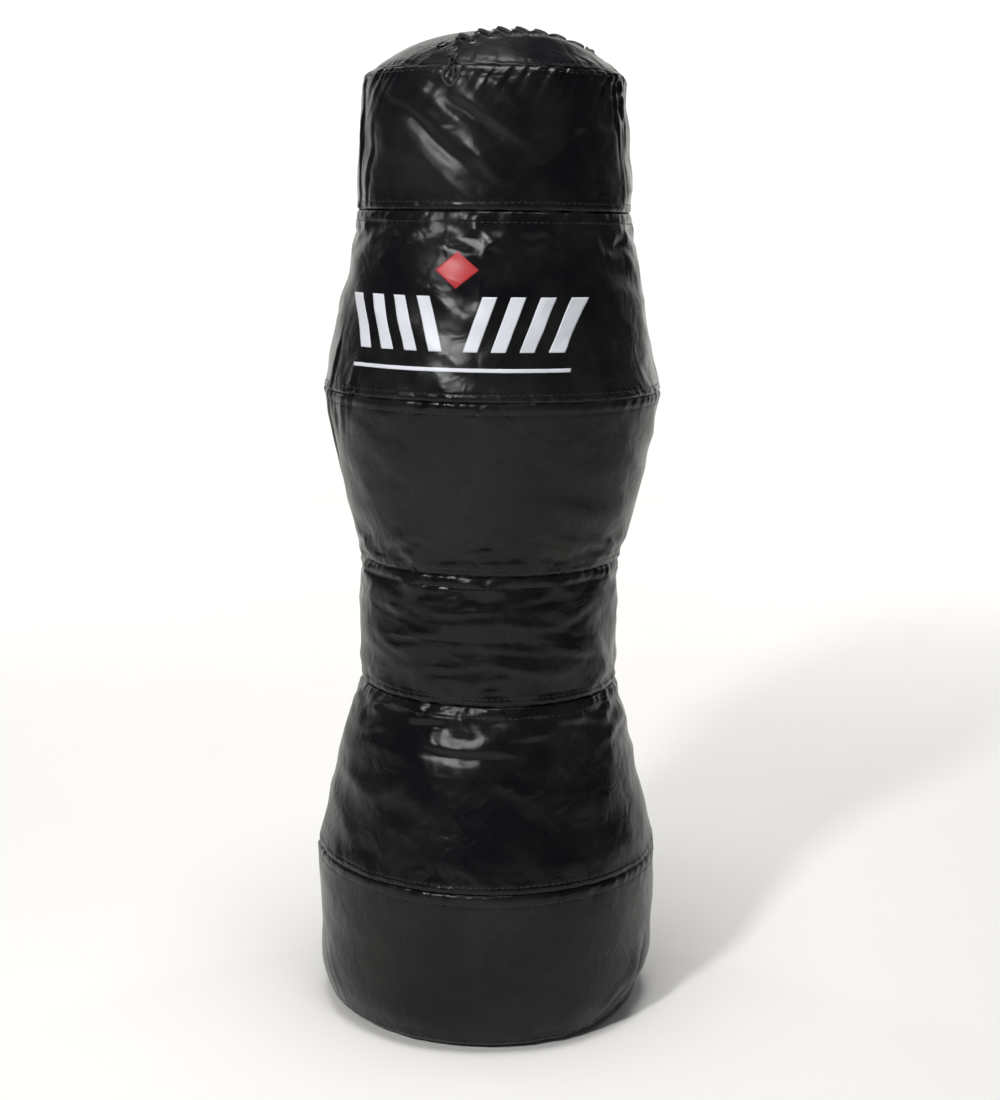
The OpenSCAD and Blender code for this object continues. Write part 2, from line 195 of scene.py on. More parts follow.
def shell_radius(z):
    """Radius of the plain shell at a height, before it is stuffed."""
    if z < BASE_ROUND:
        return HIP_R - (HIP_R - BASE_R + 1 * MM) * rounding((BASE_ROUND - z) / BASE_ROUND)
    if z < HIP_Z:
        return HIP_R
    if z < LOWER_WAIST_Z:
        return cone_radius(z, HIP_R, HIP_Z, WAIST_R, LOWER_WAIST_Z, 0.8 * MM)
    if z < UPPER_WAIST_Z:
        return WAIST_R
    if z < CHEST_Z:
        return cone_radius(z, WAIST_R, UPPER_WAIST_Z, CHEST_R, CHEST_Z, 3 * MM)
    if z < NECK_Z:
        return cone_radius(z, CHEST_R, CHEST_Z, NECK_R, NECK_Z, -1.5 * MM)
    if z < RIM_Z - RIM_ROUND:
        return mix(NECK_R, RIM_R + RIM_TUCK, (z - NECK_Z) / (RIM_Z - RIM_ROUND - NECK_Z))
    return RIM_R + RIM_TUCK - RIM_TUCK * rounding(min(1, (z - RIM_Z + RIM_ROUND) / RIM_ROUND))


# Seams of the shell: height and strength of the gathers.
SEAMS = [
    (PANEL_FOOT_Z, 0.6), (HIP_Z, 0.9), (LOWER_WAIST_Z, 1.1),
    (UPPER_WAIST_Z, 1.1), (CHEST_Z, 1.2), (NECK_Z, 0.9), (RIM_Z, 1.5),
]

# Folds in the cloth: [degrees to the right of the front, height, half length, half width,
# tilt in degrees, depth], lengths in millimetres.
FOLDS = [
    [-23, 319, 26, 5.0, 4, 2.4], [-9, 292, 48, 6.0, -3, 2.6], [14, 306, 30, 5.0, 6, 1.5],
    [38, 318, 30, 5.5, -8, 1.8], [-52, 300, 26, 6.0, 12, 1.6], [70, 296, 34, 6.5, 10, 1.8],
    [-5, 486, 34, 4.5, 4, 1.6], [12, 494, 26, 5.0, -12, 1.3], [-40, 492, 24, 5.0, 14, 1.4],
    [55, 488, 28, 5.0, -10, 1.5],
    [-21, 449, 38, 5.0, 2, 1.4], [11, 372, 26, 5.0, -14, 1.6], [42, 420, 30, 6.0, 22, 1.2],
    [-8, 428, 40, 3.6, 4, 1.8], [24, 412, 36, 3.6, -8, 1.7], [-32, 402, 38, 3.6, 6, 1.6],
    [6, 392, 42, 3.8, -4, 1.9], [40, 384, 30, 3.6, -12, 1.6], [-16, 372, 34, 3.4, 6, 1.7],
    [1, 361, 22, 3.0, 10, 2.4], [26, 442, 30, 3.6, 6, 1.5], [-44, 424, 28, 3.6, -10, 1.5],
    [-50, 388, 30, 6.0, -16, 1.3],
    [-24, 926, 30, 9.0, -18, 2.4], [-13, 904, 38, 10.0, -34, 2.8], [-21, 868, 42, 9.0, -40, 2.6],
    [-2, 884, 38, 9.0, -32, 2.4], [-6, 850, 28, 8.0, -48, 1.8], [-38, 900, 34, 7.0, -30, 1.8],
    [60, 902, 40, 4.0, -80, 1.7], [72, 880, 46, 4.5, 86, 1.8], [52, 926, 24, 4.5, -68, 1.6],
    [-52, 642, 30, 5.0, 74, 1.5], [-68, 652, 36, 4.5, 84, 1.7], [-76, 600, 40, 5.0, 80, 1.7],
    [-3, 499, 22, 3.2, 14, 2.5], [7, 494, 18, 3.0, -22, 2.2], [-12, 503, 17, 3.0, 24, 2.1],
    [16, 503, 20, 3.4, 10, 1.8], [-24, 497, 18, 3.2, -12, 1.8], [30, 499, 20, 3.4, -16, 1.8],
    [30, 868, 44, 8.0, 34, 1.3], [66, 915, 34, 6.0, -68, 2.6], [-74, 870, 56, 5.0, 84, 2.0],
    [-62, 850, 40, 5.0, 78, 1.2],
    [-58, 618, 18, 4.5, 70, 1.8], [-66, 612, 16, 4.0, 76, 1.4], [-6, 778, 44, 8.0, -12, 1.3],
    [20, 690, 60, 12.0, 18, 1.0], [-35, 560, 60, 13.0, -24, 1.0],
    [64, 40, 30, 13.0, 62, 5.0], [50, 28, 20, 7.0, 40, 2.4], [-64, 40, 24, 7.0, -52, 1.8],
    [110, 300, 40, 6.0, 8, 1.8], [150, 880, 50, 7.0, 40, 2.0], [-120, 870, 46, 7.0, -36, 2.0],
    [-150, 310, 40, 6.0, -6, 1.8], [170, 440, 34, 5.0, 10, 1.5], [-100, 700, 60, 12.0, 20, 1.2],
    [128, 560, 60, 12.0, -20, 1.2], [-165, 60, 26, 8.0, 50, 2.4],
]

pressed = {"grid": None}    # what the cloth simulation adds, as a grid of radial moves


def simulated(angle, z):
    """Radial move that the simulation found at a place of the shell."""
    grid = pressed["grid"]
    if grid is None:
        return 0.0
    rows, columns = grid.shape
    u = (angle % FULL_TURN) / FULL_TURN * columns
    v = min(max(z / RIM_Z, 0.0), 1.0) * (rows - 1)
    i, j = int(u) % columns, min(int(v), rows - 2)
    s, t = u - int(u), v - j
    k = (i + 1) % columns
    return mix(mix(grid[j, i], grid[j, k], s), mix(grid[j + 1, i], grid[j + 1, k], s), t)


def fold_relief(angle, z):
    """Sum of the folds near a place: a valley with a soft ridge above it."""
    total = 0.0
    for azimuth, height, half_length, half_width, tilt, depth in FOLDS:
        up = z / MM - height
        if abs(up) > half_length * 1.8 + half_width * 4:
            continue
        turn = wrapped(angle - FRONT - math.radians(azimuth))
        across = turn * shell_radius(z) / MM
        if abs(across) > half_length * 2 + half_width * 4:
            continue
        c, s = math.cos(math.radians(tilt)), math.sin(math.radians(tilt))
        along, over = across * c + up * s, up * c - across * s
        over += 0.05 * along * math.sin(along / half_length * 2.2 + azimuth)
        shape = 0.75 * bump(over - half_width * 1.25, half_width) - bump(over, half_width * 0.6)
        total += depth * MM * shape * bump(along, half_length)
    return total


def gather(angle, z, seam_z, strength):
    """Small upright gathers beside a seam, which run out into the band."""
    away = z - seam_z
    if abs(away) > 46 * MM:
        return 0.0
    side = 3.1 if away > 0 else 9.7
    radius = shell_radius(seam_z)
    lean = abs(away) * 4
    turn = Vector((math.cos(angle + lean), math.sin(angle + lean), 0)) * radius
    coarse = noise.noise(turn / (15 * MM) + Vector((0, 0, side + seam_z * 50)))
    fine = noise.noise(turn / (6.5 * MM) + Vector((0, 0, side * 2 + seam_z * 90)))
    patchy = 0.55 + 0.9 * max(0, noise.noise(turn / (90 * MM) + Vector((0, 0, side))) + 0.25)
    sides = 0.75 + 0.9 * abs(math.cos(angle)) ** 3
    reach = bump(away, 22 * MM) * coarse + 0.9 * sides * bump(away, 9 * MM) * fine
    return strength * patchy * reach * bag_sizes().pucker_depth


def rim_gather(angle, z):
    """The long slanting gathers under the rim, deepest at the right of the front."""
    down = RIM_Z - z
    if down > 75 * MM:
        return 0.0
    turn = angle - FRONT
    at_right = 0.35 + bump(turn - math.radians(42), math.radians(34))
    at_right += 0.4 * bump(turn + math.radians(150), math.radians(50))
    slant = turn * RIM_R / (9 * MM) + down / (14 * MM)
    folds = noise.noise(Vector((slant, down / (60 * MM), 4.2)))
    narrow = noise.noise(Vector((slant * 2.3, down / (40 * MM), 8.7)))
    return at_right * (3.4 * MM * folds * bump(down - 9 * MM, 26 * MM)
                       + 1.8 * MM * narrow * bump(down - 8 * MM, 15 * MM))


def seam_relief(angle, z):
    """Ditch, rolls and stitch grooves of every horizontal seam."""
    sizes = bag_sizes()
    total = 0.0
    for seam_z, strength in SEAMS:
        away = z - seam_z
        if abs(away) > 46 * MM:
            continue
        if seam_z != PANEL_FOOT_Z:
            total -= sizes.ditch_depth * bump(away, 1.0 * MM)
            total += 0.3 * MM * bump(away - 4 * MM, 2.6 * MM)
            total += 0.3 * MM * bump(away + 5.5 * MM, 3.6 * MM)
            total -= 0.3 * MM * bump(away - ROW_ABOVE, 1.0 * MM)
            total -= 0.3 * MM * bump(away + ROW_BELOW, 1.0 * MM)
        total += gather(angle, z, seam_z, strength)
    return total


def closing_seam_relief(angle, z):
    """The upright seam down the back of every band."""
    turn = wrapped(angle - SEAM_BACK)
    across = turn * shell_radius(z)
    if abs(across) > 25 * MM:
        return 0.0
    ditch = -1.6 * MM * bump(across, 1.8 * MM) + 0.7 * MM * bump(abs(across) - 3.4 * MM, 2 * MM)
    pucker = noise.noise(Vector((across / (30 * MM), z / (9 * MM), 2.0)))
    return ditch + 0.5 * MM * pucker * bump(across, 10 * MM)


def crumpled(z):
    """How loose the cloth is: crumpled at the neck, tight round the chest and the base."""
    levels = [(0, 0.25), (HIP_Z, 0.4), (LOWER_WAIST_Z - 50 * MM, 1.0), (WAIST_MID_Z, 1.0),
              (UPPER_WAIST_Z + 40 * MM, 0.7), (CHEST_Z - 60 * MM, 0.4), (CHEST_Z, 0.7),
              (NECK_Z, 1.3), (RIM_Z, 1.5)]
    for (z0, a), (z1, b) in zip(levels, levels[1:]):
        if z <= z1:
            return mix(a, b, max(0.0, z - z0) / (z1 - z0))
    return levels[-1][1]


def slack_relief(angle, z):
    """Wide, soft waves: the filling is a little uneven, and the cloth stretches round it."""
    radius = shell_radius(z)
    place = Vector((radius * math.cos(angle), radius * math.sin(angle), z))
    wide = noise.noise(place * 8.5)
    lying = noise.noise(Vector((place.x * 9, place.y * 9, z * 34 + 5)))
    lean = z * 14
    slanted = noise.noise(Vector((place.x * 15 + lean, place.y * 15, z * 19 + 9)))
    ridges = 0.42 - abs(slanted)
    small = noise.noise(Vector((place.x * 42 + z * 20, place.y * 42, z * 52 + 2)))
    edge = min(abs(z - seam_z) for seam_z, _ in SEAMS)
    free = min(1.0, 0.35 + edge / (40 * MM))
    crumple = crumpled(z)
    waist = bump(z - WAIST_MID_Z, 75 * MM)
    return bag_sizes().slack_depth * free * (
        mix(0.7, 1.5, crumple) * wide + mix(0.5, 1.5, waist) * lying
        + 2.2 * crumple * ridges + 0.35 * crumple * small)


def leaning_relief(angle, z):
    """The filling has settled: flatter at the neck's right and the base's left, and the
    base's lower right corner is pushed in."""
    right, left = max(0.0, math.cos(angle)) ** 2, max(0.0, -math.cos(angle)) ** 2
    turn = wrapped(angle - FRONT)
    kicked_in = bump(turn - math.radians(70), math.radians(19)) * bump(z - 15 * MM, 19 * MM)
    return -5 * MM * right * bump(z - 905 * MM, 42 * MM) \
        - 4 * MM * left * bump(z - 75 * MM, 42 * MM) - 8 * MM * kicked_in


def skin_point(angle, z, lift=0.0):
    """A place on the stuffed shell, and as far above it as lift."""
    relief = (simulated(angle, z) + seam_relief(angle, z) + fold_relief(angle, z)
              + slack_relief(angle, z) + closing_seam_relief(angle, z) + rim_gather(angle, z)
              + leaning_relief(angle, z))
    edge = min(abs(z - seam_z) for seam_z, _ in SEAMS)
    deepest = -9 * MM if z < HIP_Z else -6.5 * MM
    floor = mix(-3.2 * MM, deepest, min(1.0, edge / (30 * MM if z < HIP_Z else 40 * MM)))
    radius = shell_radius(z) + max(relief, floor) + lift
    return Vector((radius * math.cos(angle), radius * math.sin(angle), z))


# ---- shape of the crown --------------------------------------------------------------

ALONG = Vector((math.cos(SLIT_ANGLE), math.sin(SLIT_ANGLE), 0))
ACROSS = Vector((math.sin(SLIT_ANGLE), -math.cos(SLIT_ANGLE), 0))


def crown_normal(x, y):
    r = min(math.hypot(x, y), RIM_R + 2 * MM)
    return Vector((x, y, math.sqrt(CROWN_BALL_R ** 2 - r * r))).normalized()


def eyelet_place(i):
    return (i - (EYELET_COUNT - 1) / 2) * EYELET_PITCH


def crown_relief(x, y):
    """How far the crown's cloth stands off a plain dome."""
    s, w = x * ALONG.x + y * ALONG.y, x * ACROSS.x + y * ACROSS.y - SLIT_OFFSET
    r, angle = math.hypot(x, y), math.atan2(y, x)
    turn = Vector((math.cos(angle), math.sin(angle), 0)) * RIM_R
    from_rim = RIM_R - r
    relief = 1.6 * MM * noise.noise(Vector((x, y, 0)) * 17 + Vector((3, 1, 7)))
    gathers = noise.noise(turn / (11 * MM)) + 0.6 * noise.noise(turn / (5 * MM))
    relief += 0.9 * MM * gathers * bump(from_rim - 4 * MM, 11 * MM)
    relief -= 2.2 * MM * bump(from_rim, 1.8 * MM) + 0.7 * MM * bump(from_rim - 5 * MM, 1.3 * MM)
    edge = abs(w) - SLIT_HALF_GAP
    held = min(1.0, max(0.0, (98 * MM - abs(s)) / (18 * MM)))
    pull = math.cos(s / EYELET_PITCH * FULL_TURN)
    relief -= held * 1.0 * MM * pull * bump(edge - 2 * MM, 13 * MM)
    relief -= held * 0.7 * MM * bump(edge - 18 * MM, 1.2 * MM)
    if w > 0:
        relief += 4.2 * MM * bump(w - 24 * MM, 20 * MM) * bump(s, 66 * MM)
        between = 0.55 - 0.45 * pull
        relief += held * 2.6 * MM * between * bump(edge - 5 * MM, 8 * MM)
    else:
        relief -= 4.2 * MM * bump(w + 14 * MM, 34 * MM) * bump(s + 30 * MM, 60 * MM)
    relief *= min(1.0, max(0.0, from_rim / (2 * MM))) if from_rim < 2 * MM else 1.0
    flat = bump(math.hypot(abs(w) - EYELET_INSET,
                           s - EYELET_PITCH * round(s / EYELET_PITCH)), 9 * MM)
    return relief if abs(s) > 90 * MM else mix(relief, 0.0, flat)


def crown_point(x, y, lift=0.0):
    normal = crown_normal(x, y)
    centre = Vector((0, 0, CROWN_CENTRE_Z))
    return centre + (CROWN_BALL_R + crown_relief(x, y) + lift) * normal


def slit_place(s, w):
    """Flat place of a point s along the slit and w across it, towards the front."""
    flat = s * ALONG + (SLIT_OFFSET + w) * ACROSS
    return flat.x, flat.y


def plain_crown_point(s, w, lift):
    """A point over the plain dome, where the lace and the eyelets are."""
    x, y = slit_place(s, w)
    return Vector((0, 0, CROWN_CENTRE_Z)) + (CROWN_BALL_R + lift) * crown_normal(x, y)


# ---- making pieces --------------------------------------------------------------------


# The waist's two halves, each with its lower body, its upper body and the heights between
# which the cloth was to turn from one to the other; only the names are read.
HALVES = {
    "lower half": ("lower", "waist", LOWER_WAIST_Z + 14 * MM, WAIST_MID_Z - 8 * MM),
    "upper half": ("waist", "upper", WAIST_MID_Z + 8 * MM, UPPER_WAIST_Z - 14 * MM),
}


def new_piece(name, bm, finish, body=None, node=None):
    """Turns a bmesh into an object at the origin with one finish. It rides on a body, or, as a
    half of the waist, keeps its baked place, in the place of a CAD node."""
    mesh = bpy.data.meshes.new(name)
    for face in bm.faces:
        face.smooth = True
    bm.to_mesh(mesh)
    bm.free()
    piece = bpy.data.objects.new(name, mesh)
    bpy.context.scene.collection.objects.link(piece)
    mesh.materials.append(finish_of(finish))
    if body in HALVES:
        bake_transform(piece)
    elif body:
        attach(piece, body)
    if node:
        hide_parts(node)
    return piece


def band_heights(z0, z1):
    """Heights of a band's rows of faces: close beside the seams, wide in the middle."""
    sizes = bag_sizes()
    heights, z = [z0], z0
    while z < z1:
        near = min(abs(z - seam_z) for seam_z, _ in SEAMS)
        step = sizes.row_at_seam if near < 14 * MM else sizes.row_mid
        z += step
        if z < z1 - step / 2:
            heights.append(z)
    return heights + [z1]


def spun(profile, steps):
    """Spins a profile of [radius, height] once round the Z axis."""
    bm = bmesh.new()
    verts = [bm.verts.new((r, 0, z)) for r, z in profile]
    edges = [bm.edges.new(pair) for pair in zip(verts, verts[1:])]
    bmesh.ops.spin(bm, geom=verts + edges, cent=(0, 0, 0), axis=(0, 0, 1),
                   angle=FULL_TURN, steps=steps, use_merge=True)
    bmesh.ops.remove_doubles(bm, verts=bm.verts, dist=1e-6)
    bmesh.ops.recalc_face_normals(bm, faces=bm.faces)
    return bm


def extruded(bm, edges):
    """Extrudes edges, and gives the new verts and the new edges between them."""
    made = bmesh.ops.extrude_edge_only(bm, edges=edges)["geom"]
    verts = [part for part in made if isinstance(part, bmesh.types.BMVert)]
    edges = [part for part in made if isinstance(part, bmesh.types.BMEdge)
             and all(vert in verts for vert in part.verts)]
    return verts, edges


def outward(bm):
    """Makes the faces of an open shell point away from the axis."""
    lean = sum(f.normal.dot(f.calc_center_median() * Vector((1, 1, 0))) for f in bm.faces)
    if lean < 0:
        bmesh.ops.reverse_faces(bm, faces=bm.faces)


def wrap_map(bm, radius):
    """A UV map in metres: round the band, and up it."""
    layer = bm.loops.layers.uv.new("cloth")
    for face in bm.faces:
        middle = face.calc_center_median()
        about = math.atan2(middle.y, middle.x)
        for loop in face.loops:
            co = loop.vert.co
            turn = wrapped(math.atan2(co.y, co.x) - about)
            loop[layer].uv = ((about + turn) * radius, co.z)


def thicken(piece, thickness, rim=True):
    """Gives a skin a thickness, inwards."""
    wall = piece.modifiers.new("thickness", "SOLIDIFY")
    wall.thickness = thickness
    wall.offset = -1
    wall.use_rim = rim


def band_skin(name, z0, z1, body, node):
    """One band of the shell between two heights."""
    heights = band_heights(z0, z1)
    bm = spun([[shell_radius(z), z] for z in heights], bag_sizes().steps_round)
    outward(bm)
    wrap_map(bm, shell_radius((z0 + z1) / 2))
    for vert in bm.verts:
        vert.co = skin_point(math.atan2(vert.co.y, vert.co.x), vert.co.z)
    piece = new_piece(name, bm, "cloth", body, node)
    thicken(piece, CLOTH_T, rim=body not in HALVES)


def stitch_shape():
    """One stitch: a small, low-sided bead that lies along X."""
    bm = bmesh.new()
    bmesh.ops.create_uvsphere(bm, u_segments=6, v_segments=5, radius=0.5)
    bmesh.ops.rotate(bm, verts=bm.verts, cent=(0, 0, 0),
                     matrix=Matrix.Rotation(math.pi / 2, 3, "Y"))
    sizes = bag_sizes()
    bmesh.ops.scale(bm, verts=bm.verts,
                    vec=(sizes.stitch_length, sizes.stitch_width, sizes.stitch_width))
    mesh = bpy.data.meshes.new("stitch shape")
    bm.to_mesh(mesh)
    bm.free()
    return mesh


def stitch(a, b, out):
    """Place, direction and outward direction of a stitch between two points."""
    return (a + b) / 2, b - a, out


def sewn(name, line, body, node):
    """Stitches along a line of (place, direction, outward), in the place of a CAD node."""
    shape = stitch_shape()
    bm = bmesh.new()
    for place, direction, out in line:
        start = len(bm.verts)
        bm.from_mesh(shape)
        bm.verts.ensure_lookup_table()
        side = out.cross(direction).normalized()
        turn = Matrix((direction.normalized(), side, direction.cross(side).normalized()))
        bmesh.ops.transform(bm, matrix=Matrix.Translation(place) @ turn.transposed().to_4x4(),
                            verts=bm.verts[start:])
    bpy.data.meshes.remove(shape)
    new_piece(name, bm, "thread", body, node)


def stitches_round(z):
    """Places of the stitches of one row round the shell."""
    sizes = bag_sizes()
    count = int(FULL_TURN * shell_radius(z) / sizes.stitch_pitch)
    shaky = random.Random(int(z * 1e5))
    line = []
    for i in range(count):
        angle = (i + shaky.uniform(-0.06, 0.06)) / count * FULL_TURN
        height = z + shaky.uniform(-0.25, 0.25) * MM
        half = sizes.stitch_length / 2 / shell_radius(z)
        line.append(stitch(skin_point(angle - half, height, STITCH_LIFT),
                           skin_point(angle + half, height, STITCH_LIFT),
                           Vector((math.cos(angle), math.sin(angle), 0))))
    return line


def stitches_up(z0, z1, turn):
    """Places of the stitches of one upright row at the back."""
    sizes = bag_sizes()
    line, z = [], z0
    while z < z1:
        angle = SEAM_BACK + turn / shell_radius(z)
        line.append(stitch(skin_point(angle, z, STITCH_LIFT),
                           skin_point(angle, z + sizes.stitch_length, STITCH_LIFT),
                           Vector((math.cos(angle), math.sin(angle), 0))))
        z += sizes.stitch_pitch
    return line


def smooth_route(points, rounds=2):
    """Cuts the corners of a route, keeping its ends."""
    for _ in range(rounds):
        cut = [points[0]]
        for a, b in zip(points, points[1:]):
            cut += [a.lerp(b, 0.25), a.lerp(b, 0.75)]
        points = cut + [points[-1]]
    return points


def swept(route, radius, sides=10):
    """A round cord along a route, as rings extruded one after another."""
    bm = bmesh.new()
    around = bm.verts.layers.float.new("around")
    travelled = bm.verts.layers.float.new("travelled")
    tangents = [(b - a).normalized() for a, b in zip(route, route[1:])]
    tangents = [tangents[0]] + [(a + b).normalized() for a, b in zip(tangents, tangents[1:])] \
        + [tangents[-1]]
    side = tangents[0].orthogonal().normalized()
    ring = bmesh.ops.create_circle(bm, segments=sides, radius=radius)["verts"]
    edges = bm.edges[:]
    distance = 0.0
    for i, (place, along) in enumerate(zip(route, tangents)):
        if i:
            distance += (place - route[i - 1]).length
            new, edges = extruded(bm, edges)
            near = {v: k for k, v in enumerate(ring)}
            order = [None] * sides
            for v in new:
                old = next(e.other_vert(v) for e in v.link_edges if e.other_vert(v) in near)
                order[near[old]] = v
            ring = order
        side = (side - along * side.dot(along)).normalized()
        up = along.cross(side)
        for k, vert in enumerate(ring):
            turn = k / sides * FULL_TURN
            vert.co = place + radius * (math.cos(turn) * side + math.sin(turn) * up)
            vert[around], vert[travelled] = k / sides, distance
        if i in (0, len(route) - 1):
            bm.faces.new(ring)
    bmesh.ops.recalc_face_normals(bm, faces=bm.faces)
    layer = bm.loops.layers.uv.new("cord")
    for face in bm.faces:
        first = face.loops[0].vert[around]
        for loop in face.loops:
            turn = (loop.vert[around] - first + 0.5) % 1 - 0.5
            loop[layer].uv = ((first + turn) * FULL_TURN * radius, loop.vert[travelled])
    return bm


# ---- materials ------------------------------------------------------------------------


def colour(code):
    """Linear RGBA of an sRGB hex value."""
    parts = [int(code.lstrip("#")[i:i + 2], 16) / 255 for i in (0, 2, 4)]
    linear = [c / 12.92 if c <= 0.04045 else ((c + 0.055) / 1.055) ** 2.4 for c in parts]
    return (*linear, 1.0)


def per_metre(size):
    """How many grains of a size in millimetres lie in a metre: a noise or cell scale."""
    return 1000 / size


def wave_scale(size):
    """Scale of a wave pattern whose bands are a size in millimetres apart."""
    return FULL_TURN / 20 * 1000 / size


def add(material, kind, settings=(), links=()):
    """Adds a node of a kind, or takes the one with that name, sets its properties and
    inputs, and links outputs into it. A node given as a source links its first output."""
    tree = material.node_tree
    node = tree.nodes.get(kind) or tree.nodes.new(kind)
    for key, value in dict(settings).items():
        if isinstance(key, str) and hasattr(node, key):
            setattr(node, key, value)
        else:
            node.inputs[key].default_value = value
    for key, source in dict(links).items():
        if isinstance(source, bpy.types.Node):
            source = next(output for output in source.outputs if output.enabled)
        tree.links.new(source, node.inputs[key])
    return node


def started(name):
    """A material with only its shader and its output."""
    material = bpy.data.materials.new(name)
    material.use_nodes = True
    return material


def crossing_threads(material, uv, pitch):
    """A height that rises and falls with each thread, along U and along V."""
    parts = add(material, "ShaderNodeSeparateXYZ", links={0: uv})
    waves = []
    for axis in (0, 1):
        turned = add(material, "ShaderNodeMath",
                     {"operation": "MULTIPLY", 1: FULL_TURN / pitch}, {0: parts.outputs[axis]})
        waves.append(add(material, "ShaderNodeMath", {"operation": "SINE"}, {0: turned}))
    return add(material, "ShaderNodeMath", {"operation": "MULTIPLY"},
               {0: waves[0], 1: waves[1]})


def coated_cloth():
    """PVC-coated polyester, calendered: black and glossy, so light breaks up on its
    creases; the base weave shows through, and rubbed places are greyer and duller."""
    material = started("coated polyester cloth")
    place = add(material, "ShaderNodeTexCoord").outputs["Object"]
    colours, sizes = bag_colours(), bag_sizes()
    rubbed = add(material, "ShaderNodeTexNoise",
                 {"Scale": per_metre(90), "Detail": 5.0, "Roughness": 0.6}, {"Vector": place})
    worn = add(material, "ShaderNodeMapRange", {"From Min": 0.42, "From Max": 0.72},
               {"Value": rubbed})
    tint = add(material, "ShaderNodeMix", {"data_type": "RGBA", 6: colour(colours.cloth),
                                           7: colour(colours.cloth_dust)}, {0: worn})
    uv = add(material, "ShaderNodeUVMap", {"uv_map": "cloth"})
    weave = crossing_threads(material, uv, sizes.weave_pitch)
    patchy = add(material, "ShaderNodeMapRange",
                 {"From Min": 0.3, "From Max": 0.7, "To Min": 0.14, "To Max": 0.36},
                 {"Value": rubbed})
    threads_dull = add(material, "ShaderNodeMath", {"operation": "MULTIPLY_ADD", 1: -0.03},
                       {0: weave, 2: patchy})
    threads = add(material, "ShaderNodeBump", {"Strength": 0.6, "Distance": 0.06 * MM},
                  {"Height": weave})
    # The coating's own grain is finer than a millimetre; it is drawn 2 mm coarse to show.
    grain = add(material, "ShaderNodeTexNoise", {"Scale": per_metre(2), "Detail": 2.0},
                {"Vector": place})
    skin = add(material, "ShaderNodeBump", {"Strength": 0.25, "Distance": 0.15 * MM},
               {"Height": grain, "Normal": threads})
    crinkle = add(material, "ShaderNodeTexNoise",
                  {"Scale": per_metre(22), "Detail": 3.0, "Distortion": 0.8},
                  {"Vector": place})
    crinkled = add(material, "ShaderNodeBump", {"Strength": 0.8, "Distance": 1.6 * MM},
                   {"Height": crinkle, "Normal": skin})
    add(material, "Principled BSDF", {"IOR": 1.3},
        {"Base Color": tint, "Roughness": threads_dull, "Normal": crinkled})
    return material


def sewing_thread():
    """Bonded nylon thread: black and waxy, with its twist as fine slanted bands."""
    material = started("bonded sewing thread")
    place = add(material, "ShaderNodeTexCoord").outputs["Object"]
    twist = add(material, "ShaderNodeTexWave",
                {"Scale": wave_scale(0.75), "Distortion": 1.5, "bands_direction": "DIAGONAL"},
                {"Vector": place}).outputs["Fac"]
    # Painted shade: the thread is tinted lighter on the twist's raised bands and darker in the
    # grooves between them.
    tint = add(material, "ShaderNodeMix",
               {"data_type": "RGBA", 6: colour(bag_colours().thread), 7: colour("#1A1A1E")},
               {0: twist})
    rough = add(material, "ShaderNodeMapRange", {"To Min": 0.5, "To Max": 0.65},
                {"Value": twist})
    strands = add(material, "ShaderNodeBump", {"Strength": 0.5, "Distance": 0.2 * MM},
                  {"Height": twist})
    add(material, "Principled BSDF", {"IOR": 1.53},
        {"Base Color": tint, "Roughness": rough, "Normal": strands})
    return material


def woven_tape():
    """Polyester webbing: matte black, with ribs across it and a little fuzz."""
    material = started("woven seam tape")
    place = add(material, "ShaderNodeTexCoord").outputs["Object"]
    ribs = add(material, "ShaderNodeTexWave",
               {"Scale": wave_scale(1.8), "Distortion": 0.4, "bands_direction": "DIAGONAL"},
               {"Vector": place}).outputs["Fac"]
    fuzz = add(material, "ShaderNodeTexNoise", {"Scale": per_metre(1.1), "Detail": 2.0},
               {"Vector": place})
    tint = add(material, "ShaderNodeMix",
               {"data_type": "RGBA", 6: colour(bag_colours().tape), 7: colour("#212125")},
               {0: fuzz})
    rough = add(material, "ShaderNodeMapRange", {"To Min": 0.62, "To Max": 0.8},
                {"Value": fuzz})
    height = add(material, "ShaderNodeMath", {"operation": "ADD"}, {0: ribs, 1: fuzz})
    relief = add(material, "ShaderNodeBump", {"Strength": 0.5, "Distance": 0.3 * MM},
                 {"Height": height})
    add(material, "Principled BSDF", {"Sheen Weight": 0.1, "Sheen Roughness": 0.5},
        {"Base Color": tint, "Roughness": rough, "Normal": relief})
    return material


def braided_lace():
    """Round braided polyester lace: strands that cross each other every 2 mm."""
    material = started("braided lace")
    uv = add(material, "ShaderNodeUVMap", {"uv_map": "cord"})
    turned = add(material, "ShaderNodeMapping", {"Rotation": (0, 0, math.pi / 4)},
                 {"Vector": uv})
    braid = crossing_threads(material, turned, 1.95 * MM)
    # Painted shade: the lace is tinted darker in the braid's hollows and lighter on its raised
    # strands.
    strand_shade = add(material, "ShaderNodeMapRange", {"From Min": -1}, {"Value": braid})
    tint = add(material, "ShaderNodeMix",
               {"data_type": "RGBA", 6: colour(bag_colours().lace), 7: colour("#18181B")},
               {0: strand_shade})
    rough = add(material, "ShaderNodeMapRange", {"From Min": -1, "To Min": 0.5, "To Max": 0.66},
                {"Value": braid})
    relief = add(material, "ShaderNodeBump", {"Strength": 0.6, "Distance": 0.35 * MM},
                 {"Height": braid})
    add(material, "Principled BSDF", {"Sheen Weight": 0.05, "Sheen Roughness": 0.4},
        {"Base Color": tint, "Roughness": rough, "Normal": relief})
    return material


